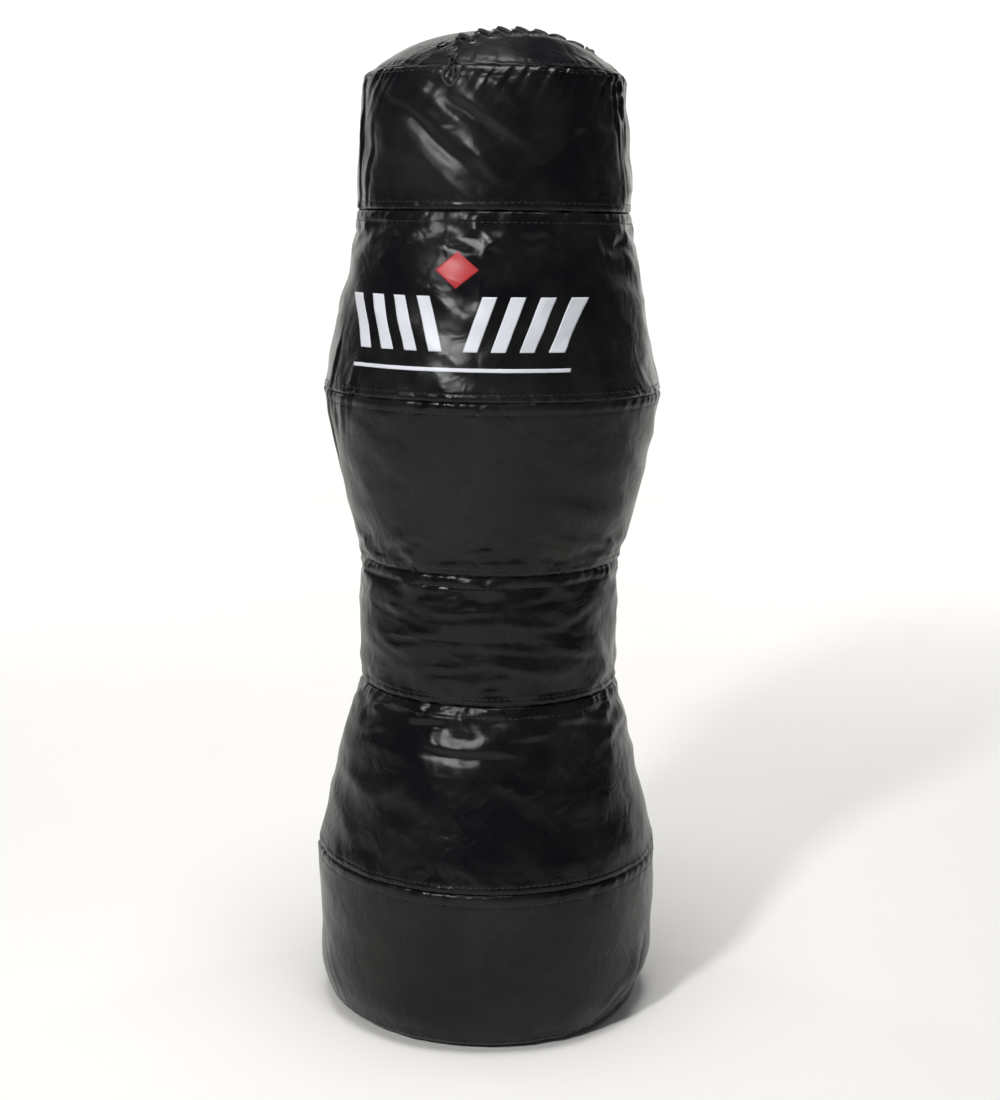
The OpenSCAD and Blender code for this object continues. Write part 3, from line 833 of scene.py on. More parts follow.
def lacquered_brass():
    """Brass eyelets under black lacquer: glossy, with worn specks where brass shows."""
    material = started("black lacquered brass")
    place = add(material, "ShaderNodeTexCoord").outputs["Object"]
    specks = add(material, "ShaderNodeTexNoise", {"Scale": per_metre(3.8), "Detail": 3.0},
                 {"Vector": place})
    worn = add(material, "ShaderNodeMapRange", {"From Min": 0.72, "From Max": 0.76},
               {"Value": specks})
    tint = add(material, "ShaderNodeMix",
               {"data_type": "RGBA", 6: colour(bag_colours().eyelet), 7: colour("#8A7440")},
               {0: worn})
    rough = add(material, "ShaderNodeMapRange",
                {"From Min": 0.3, "From Max": 0.7, "To Min": 0.28, "To Max": 0.42},
                {"Value": specks})
    add(material, "Principled BSDF", {"Coat Weight": 0.6, "Coat Roughness": 0.12},
        {"Base Color": tint, "Metallic": worn, "Roughness": rough})
    return material


def printed_ink(name, code):
    """Screen-printed ink: satin, lying over the weave, with hairline cracks and thin
    places where the dark cloth shows."""
    material = started(name)
    place = add(material, "ShaderNodeTexCoord").outputs["Object"]
    cracks = add(material, "ShaderNodeTexVoronoi",
                 {"feature": "DISTANCE_TO_EDGE", "Scale": per_metre(13)}, {"Vector": place})
    wear = add(material, "ShaderNodeTexNoise",
               {"Scale": per_metre(42), "Detail": 6.0, "Roughness": 0.7}, {"Vector": place})
    uv = add(material, "ShaderNodeUVMap", {"uv_map": "cloth"})
    weave = crossing_threads(material, uv, bag_sizes().weave_pitch)
    hairline = add(material, "ShaderNodeMapRange",
                   {"From Max": 0.014, "To Min": 0.6, "To Max": 0.0}, {"Value": cracks})
    rubbed = add(material, "ShaderNodeMapRange", {"From Min": 0.52, "From Max": 0.74},
                 {"Value": wear})
    gone = add(material, "ShaderNodeMath", {"operation": "MULTIPLY"}, {0: hairline, 1: rubbed})
    low_thread = add(material, "ShaderNodeMapRange",
                     {"From Min": -1, "To Min": 0.16, "To Max": 0.03}, {"Value": weave})
    loss = add(material, "ShaderNodeMath", {"operation": "MAXIMUM"}, {0: gone, 1: low_thread})
    tint = add(material, "ShaderNodeMix",
               {"data_type": "RGBA", 6: colour(code), 7: colour(bag_colours().cloth)},
               {0: loss})
    rough = add(material, "ShaderNodeMapRange",
                {"From Min": 0.3, "From Max": 0.7, "To Min": 0.36, "To Max": 0.5},
                {"Value": wear})
    relief = add(material, "ShaderNodeBump", {"Strength": 0.6, "Distance": 0.06 * MM},
                 {"Height": weave})
    add(material, "Principled BSDF", {"IOR": 1.48},
        {"Base Color": tint, "Roughness": rough, "Normal": relief})
    return material


def shredded_textile():
    """Shredded cloth offcuts packed together: matte scraps of mixed greys and browns."""
    material = started("shredded textile")
    place = add(material, "ShaderNodeTexCoord").outputs["Object"]
    scraps = add(material, "ShaderNodeTexVoronoi", {"Scale": per_metre(17)},
                 {"Vector": place})
    tint = add(material, "ShaderNodeMix", {"data_type": "RGBA", "blend_type": "MULTIPLY",
                                           0: 0.6, 6: colour(bag_colours().filling)},
               {7: scraps.outputs["Color"]})
    fibres = add(material, "ShaderNodeTexNoise", {"Scale": per_metre(2), "Detail": 4.0},
                 {"Vector": place})
    rough = add(material, "ShaderNodeMapRange", {"To Min": 0.8, "To Max": 1.0},
                {"Value": fibres})
    relief = add(material, "ShaderNodeBump", {"Strength": 0.8, "Distance": 2 * MM},
                 {"Height": scraps})
    add(material, "Principled BSDF", {},
        {"Base Color": tint, "Roughness": rough, "Normal": relief})
    return material


def painted_floor():
    """Pale matte paint on the studio floor, with faint cloudiness."""
    material = started("pale studio paint")
    place = add(material, "ShaderNodeTexCoord").outputs["Object"]
    clouds = add(material, "ShaderNodeTexNoise", {"Scale": per_metre(330), "Detail": 3.0},
                 {"Vector": place})
    tint = add(material, "ShaderNodeMix",
               {"data_type": "RGBA", 6: colour(bag_colours().floor), 7: colour("#F0EEEA")},
               {0: clouds})
    rough = add(material, "ShaderNodeMapRange", {"To Min": 0.75, "To Max": 0.9},
                {"Value": clouds})
    add(material, "Principled BSDF", {}, {"Base Color": tint, "Roughness": rough})
    return material


materials = {}


def finish_of(name):
    """The finished material of a kind, made once."""
    makers = {
        "cloth": coated_cloth, "thread": sewing_thread, "tape": woven_tape,
        "lace": braided_lace, "eyelet": lacquered_brass, "filling": shredded_textile,
        "white ink": lambda: printed_ink("white screen ink", bag_colours().white_ink),
        "red ink": lambda: printed_ink("red screen ink", bag_colours().red_ink),
        "floor": painted_floor,
    }
    if name not in materials:
        materials[name] = makers[name]()
    return materials[name]


def refinish(node, name):
    """Gives a carried-over CAD node its finish."""
    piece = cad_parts[node]
    piece.data.materials.clear()
    piece.data.materials.append(finish_of(name))


# ---- operators ------------------------------------------------------------------------


class BAG_OT_stage(bpy.types.Operator):
    """Build the floor, the soft lights and the camera"""

    bl_idname = "bag.stage"
    bl_label = "Stage"

    def sweep(self):
        """A floor that curves up into a plain backdrop far behind the bag."""
        bm = bmesh.new()
        back, lift, radius = 3.4, 4.6, 1.3
        flat = [(-8, 0), (back, 0)]
        curve = [(back + radius * math.sin(a), radius * (1 - math.cos(a)))
                 for a in (math.radians(5 * i) for i in range(1, 19))]
        line = [bm.verts.new((-7, y, z)) for y, z in flat + curve + [(back + radius, lift)]]
        edges = [bm.edges.new(pair) for pair in zip(line, line[1:])]
        bmesh.ops.translate(bm, vec=(14, 0, 0), verts=extruded(bm, edges)[0])
        bmesh.ops.recalc_face_normals(bm, faces=bm.faces)
        new_piece("studio_sweep", bm, "floor")

    def execute(self, context):
        self.sweep()
        world = bpy.data.worlds.new("studio")
        context.scene.world = world
        world.use_nodes = True
        sky = world.node_tree.nodes["Background"]
        sky.inputs["Color"].default_value = (0.84, 0.88, 1, 1)
        sky.inputs["Strength"].default_value = 0.12
        context.scene.view_settings.view_transform = "Standard"
        for name, place, size, power, aim in (
            ("overhead softbox", (0, -0.5, 3.8), 1.5, 86, (0, 0.1, 0)),
            ("key softbox", (-1.3, -2.3, 2.0), 0.28, 58, (0, 0, 0.7)),
            ("left backdrop light", (-2.9, 1.9, 2.3), 1.2, 85, (-1.4, 4.6, 1.4)),
            ("right backdrop light", (2.9, 1.9, 2.3), 1.2, 85, (1.4, 4.6, 1.4)),
        ):
            light = bpy.data.lights.new(name, "AREA")
            light.size = size
            light.energy = power
            lamp = bpy.data.objects.new(name, light)
            lamp.location = place
            lamp.rotation_euler = (Vector(aim) - Vector(place)).to_track_quat("-Z", "Y").to_euler()
            context.scene.collection.objects.link(lamp)
        data = bpy.data.cameras.new("camera")
        data.sensor_fit = "HORIZONTAL"
        data.sensor_width = 36
        data.lens = 64.26
        data.clip_end = 60
        camera = bpy.data.objects.new("camera", data)
        camera.location = (0.0101, -1.80, 0.803)
        pitch = math.radians(90 - 10.45)
        turn = Matrix.Rotation(pitch, 4, "X") @ Matrix.Rotation(math.radians(0.8), 4, "Z")
        camera.matrix_world = Matrix.Translation(camera.location) @ turn
        context.scene.collection.objects.link(camera)
        context.scene.camera = camera
        return {"FINISHED"}


class BAG_OT_press(bpy.types.Operator):
    """Simulate the filling pressing on the shell, held at its seams"""

    bl_idname = "bag.press"
    bl_label = "Press the filling"

    rows = 189
    columns = 200
    cap = 3.5 * MM
    settle = 0.55

    def execute(self, context):
        heights = [RIM_Z * i / (self.rows - 1) for i in range(self.rows)]
        bm = spun([[shell_radius(z), z] for z in heights], self.columns)
        outward(bm)
        piece = new_piece("shell to press", bm, "cloth")
        held = piece.vertex_groups.new(name="sewn")
        step = RIM_Z / (self.rows - 1)
        sewn_rows = [vert.index for vert in piece.data.vertices
                     if min(abs(vert.co.z - seam_z) for seam_z, _ in SEAMS) < step * 0.51]
        held.add(sewn_rows, 1.0, "REPLACE")
        cloth = piece.modifiers.new("stuffed", "CLOTH")
        settings = cloth.settings
        settings.vertex_group_mass = "sewn"
        settings.quality = 4
        settings.mass = 0.25
        settings.tension_stiffness = 30
        settings.compression_stiffness = 6
        settings.shear_stiffness = 8
        settings.bending_stiffness = 0.6
        settings.shrink_min = -0.012
        settings.use_pressure = True
        settings.uniform_pressure_force = 4
        settings.effector_weights.gravity = 0
        cloth.point_cache.frame_start = 1
        cloth.point_cache.frame_end = 20
        for i in range(1, 21):
            context.scene.frame_set(i)
        shaped = piece.evaluated_get(context.evaluated_depsgraph_get()).to_mesh()
        grid = np.zeros((self.rows, self.columns))
        for rest, moved in zip(piece.data.vertices, shaped.vertices):
            column = round((math.atan2(rest.co.y, rest.co.x) % FULL_TURN)
                           / FULL_TURN * self.columns) % self.columns
            row = round(rest.co.z / step)
            out = math.hypot(moved.co.x, moved.co.y) - math.hypot(rest.co.x, rest.co.y)
            grid[row, column] = min(max(out, -self.cap), self.cap)
        pressed["grid"] = grid - self.settle * grid.mean(axis=1, keepdims=True)
        bpy.data.objects.remove(piece)
        context.scene.frame_set(1)
        return {"FINISHED"}


class BAG_OT_bands(bpy.types.Operator):
    """Build the six bands of the shell"""

    bl_idname = "bag.bands"
    bl_label = "Bands"

    def execute(self, context):
        for name, z0, z1, body, node in (
            ("base_band", PANEL_FOOT_Z, HIP_Z, "lower", "base_panel"),
            ("hip_band", HIP_Z, LOWER_WAIST_Z, "lower", "hip_panel"),
            ("chest_band", UPPER_WAIST_Z, CHEST_Z, "upper", "chest_panel"),
            ("shoulder_band", CHEST_Z, NECK_Z, "upper", "shoulder_panel"),
            ("neck_band", NECK_Z, RIM_Z, "upper", "neck_panel"),
            ("waist_band_lower", LOWER_WAIST_Z, WAIST_MID_Z, "lower half", "waist_panel"),
            ("waist_band_upper", WAIST_MID_Z, UPPER_WAIST_Z, "upper half", "waist_panel"),
        ):
            band_skin(name, z0, z1, body, node)
        return {"FINISHED"}


class BAG_OT_base(bpy.types.Operator):
    """Build the bound edge round the base and finish the base disc"""

    bl_idname = "bag.base"
    bl_label = "Base"

    def execute(self, context):
        refinish("base_disc", "cloth")
        low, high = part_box("base_binding")
        thick = (high.z - low.z) / 2
        ring_r, middle_z = high.x - thick, (high.z + low.z) / 2
        profile = [[ring_r + thick * math.cos(a / 14 * FULL_TURN),
                    middle_z + thick * math.sin(a / 14 * FULL_TURN)] for a in range(14)]
        bm = spun(profile + [profile[0]], 320)
        layer = bm.loops.layers.uv.new("cloth")
        for face in bm.faces:
            for loop in face.loops:
                co = loop.vert.co
                loop[layer].uv = (math.atan2(co.y, co.x) * ring_r, co.z)
        for vert in bm.verts:
            angle = math.atan2(vert.co.y, vert.co.x)
            centre = Vector((ring_r * math.cos(angle), ring_r * math.sin(angle), middle_z))
            squeeze = 1 - 0.12 * abs(noise.noise(Vector((angle * 26, 1, 0))))
            vert.co = centre + (vert.co - centre) * squeeze
        new_piece("base_welt", bm, "tape", "lower", "base_binding")
        return {"FINISHED"}


class BAG_OT_crown(bpy.types.Operator):
    """Build the two panels of the crown, with their hemmed edges at the slit"""

    bl_idname = "bag.crown"
    bl_label = "Crown"

    def panel(self, name, side, node):
        rows = 46
        profile = []
        for i in range(rows + 1):
            r = RIM_R * i / rows
            profile.append([r, CROWN_CENTRE_Z + math.sqrt(CROWN_BALL_R ** 2 - r * r)])
        bm = spun(profile, 360)
        if sum(face.normal.z for face in bm.faces) < 0:
            bmesh.ops.reverse_faces(bm, faces=bm.faces)
        edge = ACROSS * (SLIT_OFFSET + side * SLIT_HALF_GAP)
        bmesh.ops.bisect_plane(bm, geom=bm.verts[:] + bm.edges[:] + bm.faces[:], dist=1e-6,
                               plane_co=edge, plane_no=ACROSS * side, clear_inner=True)
        layer = bm.loops.layers.uv.new("cloth")
        for face in bm.faces:
            for loop in face.loops:
                loop[layer].uv = (loop.vert.co.x, loop.vert.co.y)
        rim_edges = []
        for e in bm.edges:
            if e.is_boundary and all(
                    abs(v.co.dot(ACROSS) - edge.dot(ACROSS)) < 1e-5 for v in e.verts):
                rim_edges.append(e)
        for vert in bm.verts:
            s, w = vert.co.dot(ALONG), vert.co.dot(ACROSS) - SLIT_OFFSET
            closed = min(1.0, max(0.0, (abs(s) - 86 * MM) / (10 * MM)))
            near = bump(abs(w) - SLIT_HALF_GAP, 9 * MM)
            flat = vert.co - ACROSS * side * SLIT_HALF_GAP * closed * near
            vert.co = crown_point(flat.x, flat.y)
        for towards, down in ((0.9, 0.8), (0.4, 1.3), (-0.7, 1.2)):
            fresh, rim_edges = extruded(bm, rim_edges)
            for vert in fresh:
                vert.co += -side * ACROSS * towards * MM - Vector((0, 0, down * MM))
        piece = new_piece(name, bm, "cloth", "upper", node)
        thicken(piece, CLOTH_T)

    def execute(self, context):
        self.panel("crown_main", -1, "crown_main_panel")
        self.panel("crown_front", 1, "crown_front_panel")
        return {"FINISHED"}


class BAG_OT_stitches(bpy.types.Operator):
    """Sew every row of stitches"""

    bl_idname = "bag.stitches"
    bl_label = "Stitches"

    gap = 4.5 * MM

    def crown_row(self, radius):
        sizes = bag_sizes()
        count = int(FULL_TURN * radius / sizes.stitch_pitch)
        line = []
        for i in range(count):
            angle = i / count * FULL_TURN
            half = sizes.stitch_length / 2 / radius
            ends = [crown_point(radius * math.cos(angle + k), radius * math.sin(angle + k),
                                STITCH_LIFT) for k in (-half, half)]
            out = crown_normal(radius * math.cos(angle), radius * math.sin(angle))
            line.append(stitch(*ends, out))
        return line

    def hem_row(self, side):
        sizes = bag_sizes()
        w = side * (SLIT_HALF_GAP + 17.8 * MM)
        line, s = [], -90 * MM
        while s < 90 * MM:
            ends = [crown_point(*slit_place(s + k, w), STITCH_LIFT)
                    for k in (0, sizes.stitch_length)]
            line.append(stitch(*ends, crown_normal(*slit_place(s, w))))
            s += sizes.stitch_pitch
        return line

    def back_rows(self, name, ranges, body, node):
        """Two rows up the back, each side of the closing seam."""
        line = []
        for z0, z1 in ranges:
            for turn in (-self.gap, self.gap):
                line += stitches_up(z0, z1, turn)
        sewn(name, line, body, node)

    def execute(self, context):
        for name, z, body in (
            ("hip_seam", HIP_Z, "lower"), ("lower_waist_seam", LOWER_WAIST_Z, "lower"),
            ("upper_waist_seam", UPPER_WAIST_Z, "upper"), ("chest_seam", CHEST_Z, "upper"),
            ("neck_seam", NECK_Z, "upper"),
        ):
            line = stitches_round(z + ROW_ABOVE) + stitches_round(z - ROW_BELOW)
            sewn(name + "_stitches", line, body, name + "_stitching")
        sewn("base_seam_stitches", stitches_round(PANEL_FOOT_Z + 4 * MM), "lower",
             "base_seam_stitching")
        rim = stitches_round(RIM_Z - 5 * MM) + self.crown_row(RIM_R - 5 * MM)
        sewn("rim_seam_stitches", rim, "upper", "rim_seam_stitching")
        start, stop = 11 * MM, 15 * MM
        for body, seams in (
            ("lower", (10 * MM, HIP_Z, LOWER_WAIST_Z)),
            ("upper", (UPPER_WAIST_Z, CHEST_Z, NECK_Z, RIM_Z)),
        ):
            ranges = [(z0 + start, z1 - stop) for z0, z1 in zip(seams, seams[1:])]
            self.back_rows(body + "_back_stitches", ranges, body, body + "_back_stitching")
        for half, z0, z1 in (("lower", LOWER_WAIST_Z + start, WAIST_MID_Z - 3 * MM),
                             ("upper", WAIST_MID_Z + 2 * MM, UPPER_WAIST_Z - stop)):
            self.back_rows("waist_back_stitches_" + half, [(z0, z1)], half + " half",
                           "waist_back_stitching")
        for name, side in (("main_hem", -1), ("front_hem", 1)):
            sewn(name + "_stitches", self.hem_row(side), "upper", name + "_stitching")
        return {"FINISHED"}


class BAG_OT_print(bpy.types.Operator):
    """Print slanted bars, a line and a diamond on the shoulder band"""

    bl_idname = "bag.print"
    bl_label = "Print"

    turn = math.radians(-13)
    bars = 4
    bar_pitch = 25 * MM
    bar_first = 16 * MM
    bar_w = 13 * MM
    bar_h = 50 * MM
    bar_slant = 15 * MM
    ink_lift = 0.28 * MM
    film = 0.2 * MM

    def place(self, across, z):
        """Where a flat print coordinate lands on the band."""
        angle = FRONT + self.turn + math.asin(min(1, max(-1, across / shell_radius(z))))
        return skin_point(angle, z, self.ink_lift), angle

    def shape(self, bm, corners, cells):
        """Adds a four-cornered shape, cut fine, and lays it on the cloth."""
        layer = bm.loops.layers.uv.verify()
        made = bmesh.ops.create_grid(bm, x_segments=cells[0], y_segments=cells[1], size=0.5)
        a, b, c, d = [Vector(corner) for corner in corners]
        radius = shell_radius((CHEST_Z + NECK_Z) / 2)
        uv = {}
        for vert in made["verts"]:
            u, v = vert.co.x + 0.5, vert.co.y + 0.5
            flat = a.lerp(b, u).lerp(d.lerp(c, u), v)
            vert.co, angle = self.place(flat.x, flat.y)
            uv[vert] = (angle * radius, flat.y)
        faces = {face for vert in made["verts"] for face in vert.link_faces}
        for face in faces:
            for loop in face.loops:
                loop[layer].uv = uv[loop.vert]
        return list(faces)

    def ink(self, name, shapes, material, node):
        bm = bmesh.new()
        bm.loops.layers.uv.new("cloth")
        for corners, cells in shapes:
            self.shape(bm, corners, cells)
        outward(bm)
        piece = new_piece(name, bm, material, "upper", node)
        thicken(piece, self.film)

    def execute(self, context):
        foot_z = CHEST_Z + 46 * MM
        shapes = []
        for side in (-1, 1):
            for i in range(self.bars):
                foot = side * (self.bar_first + self.bar_pitch * i)
                lean = side * self.bar_slant
                half = self.bar_w / 2
                shapes.append((((foot - half, foot_z), (foot + half, foot_z),
                                (foot + half + lean, foot_z + self.bar_h),
                                (foot - half + lean, foot_z + self.bar_h)), (12, 34)))
        self.ink("printed_bars", shapes, "white ink", "print_bars")
        half = 104 * MM
        low = CHEST_Z + 28 * MM
        self.ink("printed_line", [(((-half, low), (half, low), (half, low + 3.5 * MM),
                                    (-half, low + 3.5 * MM)), (140, 4))],
                 "white ink", "print_line")
        middle = CHEST_Z + 120 * MM
        self.ink("printed_diamond", [(((0, middle - 17 * MM), (20 * MM, middle),
                                       (0, middle + 17 * MM), (-20 * MM, middle)), (24, 24))],
                 "red ink", "print_diamond")
        return {"FINISHED"}


class BAG_OT_eyelets(bpy.types.Operator):
    """Set rolled eyelets along both edges of the slit"""

    bl_idname = "bag.eyelets"
    bl_label = "Eyelets"

    profile = [[3.0, -3.9], [3.0, 0.3], [3.3, 0.75], [4.2, 0.95], [5.2, 0.8], [5.85, 0.35],
               [6.0, 0.05], [4.0, 0.05], [4.0, -3.5], [4.8, -3.55], [4.8, -3.9]]

    def execute(self, context):
        bm = spun([[r * MM, z * MM] for r, z in self.profile + self.profile[:1]], 28)
        ring = bpy.data.meshes.new("eyelet shape")
        bm.to_mesh(ring)
        bm.free()
        for name, side in (("main_eyelets", -1), ("front_eyelets", 1)):
            bm = bmesh.new()
            for i in range(EYELET_COUNT):
                start = len(bm.verts)
                bm.from_mesh(ring)
                bm.verts.ensure_lookup_table()
                s = eyelet_place(i)
                place = plain_crown_point(s, side * EYELET_INSET, 0.05 * MM)
                normal = crown_normal(*slit_place(s, side * EYELET_INSET))
                turn = normal.to_track_quat("Z", "Y").to_matrix().to_4x4()
                bmesh.ops.transform(bm, matrix=Matrix.Translation(place) @ turn,
                                    verts=bm.verts[start:])
            new_piece(name.replace("eyelets", "rolled_eyelets"), bm, "eyelet",
                      "upper", name)
        bpy.data.meshes.remove(ring)
        return {"FINISHED"}


class BAG_OT_lace(bpy.types.Operator):
    """Thread the lace through the eyelets, knot it and hang its bow over the rim"""

    bl_idname = "bag.lace"
    bl_label = "Lace"

    corner = 1.7 * MM

    def crossing(self, s):
        """Up through a front eyelet, over the slit and down through the main one."""
        w, c = EYELET_INSET, self.corner
        return [plain_crown_point(s, *at) for at in (
            (w - c, -LACE_UNDER), (w, c - LACE_UNDER), (w, LACE_OVER - c), (w - c, LACE_OVER),
            (c - w, LACE_OVER), (-w, LACE_OVER - c), (-w, c - LACE_UNDER),
            (c - w, -LACE_UNDER))]

    def polar(self, r, angle, lift):
        normal = crown_normal(r * math.cos(angle), r * math.sin(angle))
        return Vector((0, 0, CROWN_CENTRE_Z)) + (CROWN_BALL_R + lift) * normal

    def knot(self, name, place, out, node):
        """An overhand knot: one cord that crosses itself three times."""
        side = out.cross(Vector((0, 0, 1))).normalized()
        up = side.cross(out)
        route = []
        for i in range(61):
            t = math.radians(mix(24, 336, i / 60))
            x = math.sin(t) + 2 * math.sin(2 * t)
            y = math.cos(t) - 2 * math.cos(2 * t)
            z = -math.sin(3 * t)
            route.append(place + 1.55 * MM * (x * side + y * up) + 1.7 * MM * z * out)
        new_piece(name, swept(route, 1.55 * MM), "lace", "upper", node)

    def hanging(self, side, drop):
        """A place under the tie knot, as far off the neck as the hanging lace lies."""
        z = TIE_Z - drop * MM
        out = Vector((math.cos(TIE_ANGLE), math.sin(TIE_ANGLE), 0))
        across = Vector((-math.sin(TIE_ANGLE), math.cos(TIE_ANGLE), 0))
        radius = shell_radius(min(z, RIM_Z)) + LACE_R + 1.2 * MM
        return radius * out + side * MM * across + Vector((0, 0, z))

    def execute(self, context):
        far, near = eyelet_place(EYELET_COUNT - 1), eyelet_place(0)
        w, c = EYELET_INSET, self.corner
        tie_out = Vector((math.cos(TIE_ANGLE), math.sin(TIE_ANGLE), 0))
        tie_knot = TIE_R * tie_out + Vector((0, 0, TIE_Z))
        rim_bend = self.polar(RIM_R - 4 * MM, TIE_ANGLE - math.radians(0.6), LACE_OVER)
        route = [plain_crown_point(far, -w, 0.9 * MM),
                 plain_crown_point(far, -w, c - LACE_UNDER),
                 plain_crown_point(far, c - w, -LACE_UNDER)]
        for i in range(EYELET_COUNT - 2, 0, -1):
            route += self.crossing(eyelet_place(i))
        route += [plain_crown_point(near, w - c, -LACE_UNDER),
                  plain_crown_point(near, w, c - LACE_UNDER),
                  plain_crown_point(near, w, LACE_OVER - c),
                  self.polar(103 * MM, TIE_ANGLE - math.radians(5), LACE_OVER + 0.2 * MM),
                  self.polar(111 * MM, TIE_ANGLE - math.radians(2.5), LACE_OVER),
                  rim_bend,
                  tie_knot + (KNOT_R + 0.5 * MM) * (rim_bend - tie_knot).normalized()]
        new_piece("crown_lace", swept(smooth_route(route, 1), LACE_R), "lace",
                  "upper", "lace")
        self.knot("tie_knot", tie_knot, tie_out, "lace_tie_knot")
        stop = plain_crown_point(far, -w, 2.4 * MM)
        self.knot("stop_knot", stop, crown_normal(*slit_place(far, -w)), "lace_stop_knot")
        half = [(1.9, 6.6), (5.6, 8.8), (8.4, 13), (8.0, 17.5), (5.4, 21.6), (2.8, 24.3)]
        loop = [self.hanging(-s, d) for s, d in half] + [self.hanging(0, 25)]
        loop += [self.hanging(s, d) for s, d in reversed(half)]
        loop = smooth_route(loop)
        bow = new_piece("bow_loop", swept(loop, BOW_R), "lace", "bow", "lace_bow")
        for i, (side, drop) in enumerate(((-2.4, 15), (2.4, 18))):
            tail = [self.hanging(side * 0.9, 10.2), self.hanging(side, 13),
                    self.hanging(side * 1.15, drop + 1)]
            new_piece(f"bow_tail_{i + 1}", swept(smooth_route(tail), BOW_R),
                                   "lace", "bow")
        return {"FINISHED"}


class BAG_OT_tapes(bpy.types.Operator):
    """Build the tapes and strips behind the seams, which follow the cloth over them"""

    bl_idname = "bag.tapes"
    bl_label = "Tapes"

    width = 26 * MM
    thickness = 1.4 * MM
    under = CLOTH_T + 0.7 * MM

    def laid(self, name, bm, body, node):
        thicken(new_piece(name, bm, "tape", body, node), self.thickness)

    def round_tape(self, node, body):
        low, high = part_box(node)
        heights = [mix(low.z, high.z - 0.5 * MM, i / 14) for i in range(15)]
        bm = spun([[shell_radius(z), z] for z in heights], bag_sizes().steps_round // 2)
        for vert in bm.verts:
            vert.co = skin_point(math.atan2(vert.co.y, vert.co.x), vert.co.z, -self.under)
        outward(bm)
        self.laid(node.replace("tape", "lining"), bm, body, node)

    def upright_tape(self, name, ranges, body, node):
        bm = bmesh.new()
        for z0, z1 in ranges:
            rows = int((z1 - z0) / (4 * MM))
            made = bmesh.ops.create_grid(bm, x_segments=8, y_segments=rows, size=0.5)
            for vert in made["verts"]:
                z = mix(z0, z1, vert.co.y + 0.5)
                angle = SEAM_BACK - vert.co.x * self.width / shell_radius(z)
                vert.co = skin_point(angle, z, -self.under)
        outward(bm)
        self.laid(name, bm, body, node)

    def eyelet_strip(self, node, side):
        """The webbing that the eyelets are set through, under one edge of the slit."""
        bm = bmesh.new()
        made = bmesh.ops.create_grid(bm, x_segments=90, y_segments=8, size=0.5)
        for vert in made["verts"]:
            s = vert.co.x * 184 * MM
            w = side * mix(SLIT_HALF_GAP + 0.5 * MM, 20 * MM, vert.co.y + 0.5)
            vert.co = crown_point(*slit_place(s, w), -self.under)
        if sum(face.normal.z for face in bm.faces) < 0:
            bmesh.ops.reverse_faces(bm, faces=bm.faces)
        self.laid(node.replace("strip", "webbing"), bm, "upper", node)

    def execute(self, context):
        for node, body in (
            ("hip_seam_tape", "lower"), ("lower_waist_seam_tape", "lower"),
            ("upper_waist_seam_tape", "upper"), ("chest_seam_tape", "upper"),
            ("neck_seam_tape", "upper"), ("rim_seam_tape", "upper"),
        ):
            self.round_tape(node, body)
        clear = 14 * MM
        for body, seams in (
            ("lower", (0, HIP_Z, LOWER_WAIST_Z)),
            ("upper", (UPPER_WAIST_Z, CHEST_Z, NECK_Z, RIM_Z - clear)),
        ):
            ranges = [(z0 + clear, z1 - clear) for z0, z1 in zip(seams, seams[1:])]
            self.upright_tape(body + "_back_lining", ranges, body, body + "_back_tapes")
        for half, z0, z1 in (("lower", LOWER_WAIST_Z + clear, WAIST_MID_Z),
                             ("upper", WAIST_MID_Z, UPPER_WAIST_Z - clear)):
            self.upright_tape("waist_back_lining_" + half, [(z0, z1)], half + " half",
                              "waist_back_tape")
        self.eyelet_strip("main_eyelet_strip", -1)
        self.eyelet_strip("front_eyelet_strip", 1)
        return {"FINISHED"}


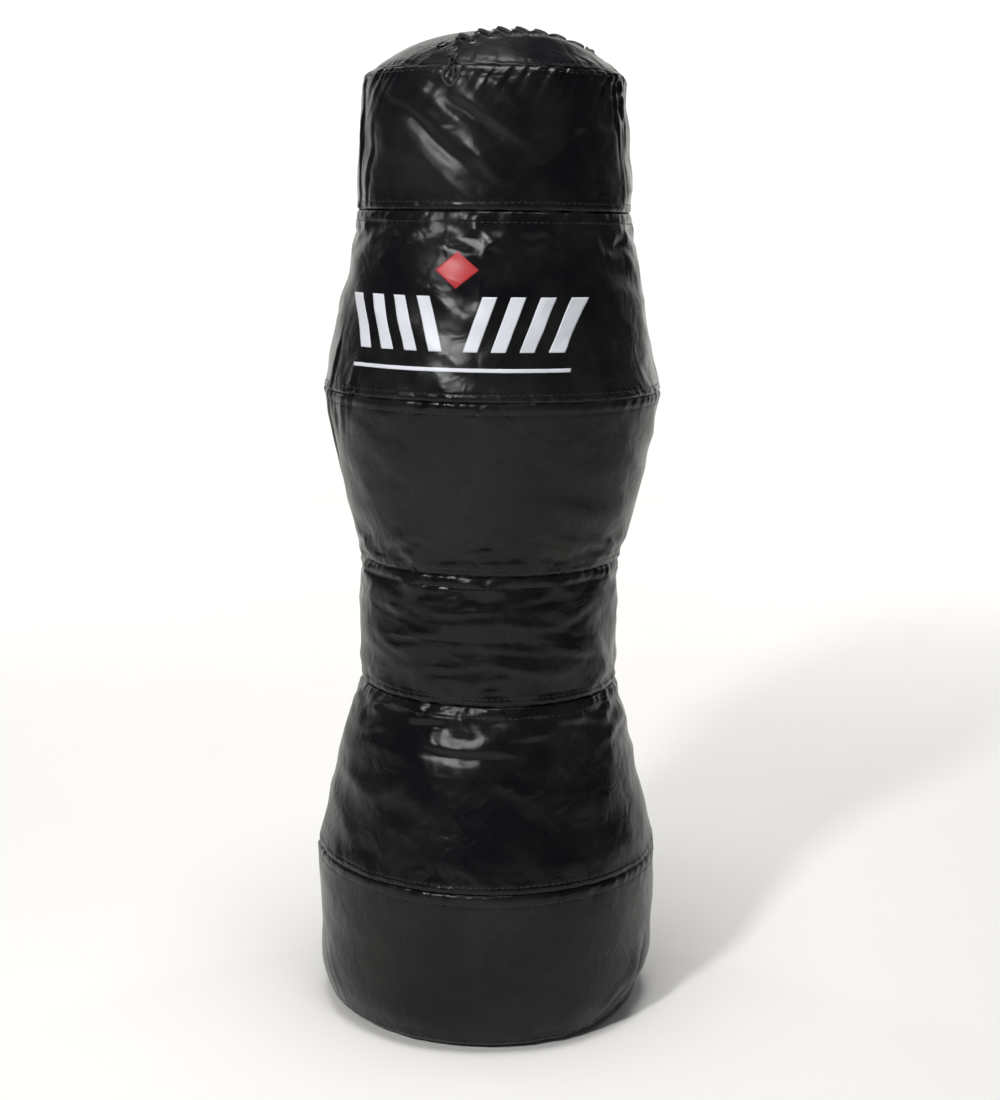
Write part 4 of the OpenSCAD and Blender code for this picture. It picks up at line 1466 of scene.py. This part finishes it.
class BAG_OT_inside(bpy.types.Operator):
    """Finish the washers and the flap inside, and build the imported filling"""

    bl_idname = "bag.inside"
    bl_label = "Inside"

    depth = 11 * MM

    def packed(self, name, profile, body, node):
        bm = spun(profile, 96)
        for vert in bm.verts:
            flat = Vector((vert.co.x, vert.co.y, 0))
            if flat.length > 1 * MM:
                vert.co += flat.normalized() * 2 * MM * noise.noise(vert.co * 40)
        new_piece(name, bm, "filling", body, node)

    def column(self, z0, z1, rows=40):
        heights = [mix(z0, z1, i / rows) for i in range(rows + 1)]
        side = [[shell_radius(z) - self.depth, z] for z in heights]
        return [[0, z0]] + side + [[0, z1]]

    def execute(self, context):
        refinish("main_eyelet_washers", "eyelet")
        refinish("front_eyelet_washers", "eyelet")
        refinish("tongue_flap", "cloth")
        ball_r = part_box("waist_filling")[1].x
        self.packed("packed_filling_lower", self.column(8 * MM, WAIST_MID_Z - 100 * MM),
                    "lower", "lower_filling")
        ball = [[(ball_r - 3 * MM) * math.sin(i / 30 * math.pi),
                 WAIST_MID_Z - (ball_r - 3 * MM) * math.cos(i / 30 * math.pi) * 0.8]
                for i in range(31)]
        self.packed("packed_filling_waist", ball, "waist", "waist_filling")
        self.packed("packed_filling_upper", self.column(WAIST_MID_Z + 100 * MM, RIM_Z - 12 * MM),
                    "upper", "upper_filling")
        return {"FINISHED"}


class BAG_PT_panel(bpy.types.Panel):
    """The steps that build the bag"""

    bl_idname = "BAG_PT_panel"
    bl_label = "Punching bag"
    bl_space_type = "VIEW_3D"
    bl_region_type = "UI"
    bl_category = "Bag"

    def draw(self, context):
        for step in STEPS:
            self.layout.operator(step.bl_idname)


STEPS = (BAG_OT_stage, BAG_OT_lace, BAG_OT_press, BAG_OT_bands, BAG_OT_base, BAG_OT_crown,
         BAG_OT_stitches, BAG_OT_print, BAG_OT_eyelets, BAG_OT_tapes, BAG_OT_inside)
CLASSES = (BagSizes, BagColours, *STEPS, BAG_PT_panel)


def register():
    for cls in CLASSES:
        bpy.utils.register_class(cls)
    bpy.types.Scene.bag_sizes = bpy.props.PointerProperty(type=BagSizes)
    bpy.types.Scene.bag_colours = bpy.props.PointerProperty(type=BagColours)


def unregister():
    del bpy.types.Scene.bag_sizes
    del bpy.types.Scene.bag_colours
    for cls in reversed(CLASSES):
        bpy.utils.unregister_class(cls)


def main():
    register()
    for step in STEPS:
        group, name = step.bl_idname.split(".")
        getattr(getattr(bpy.ops, group), name)()


if __name__ == "__main__":
    main()
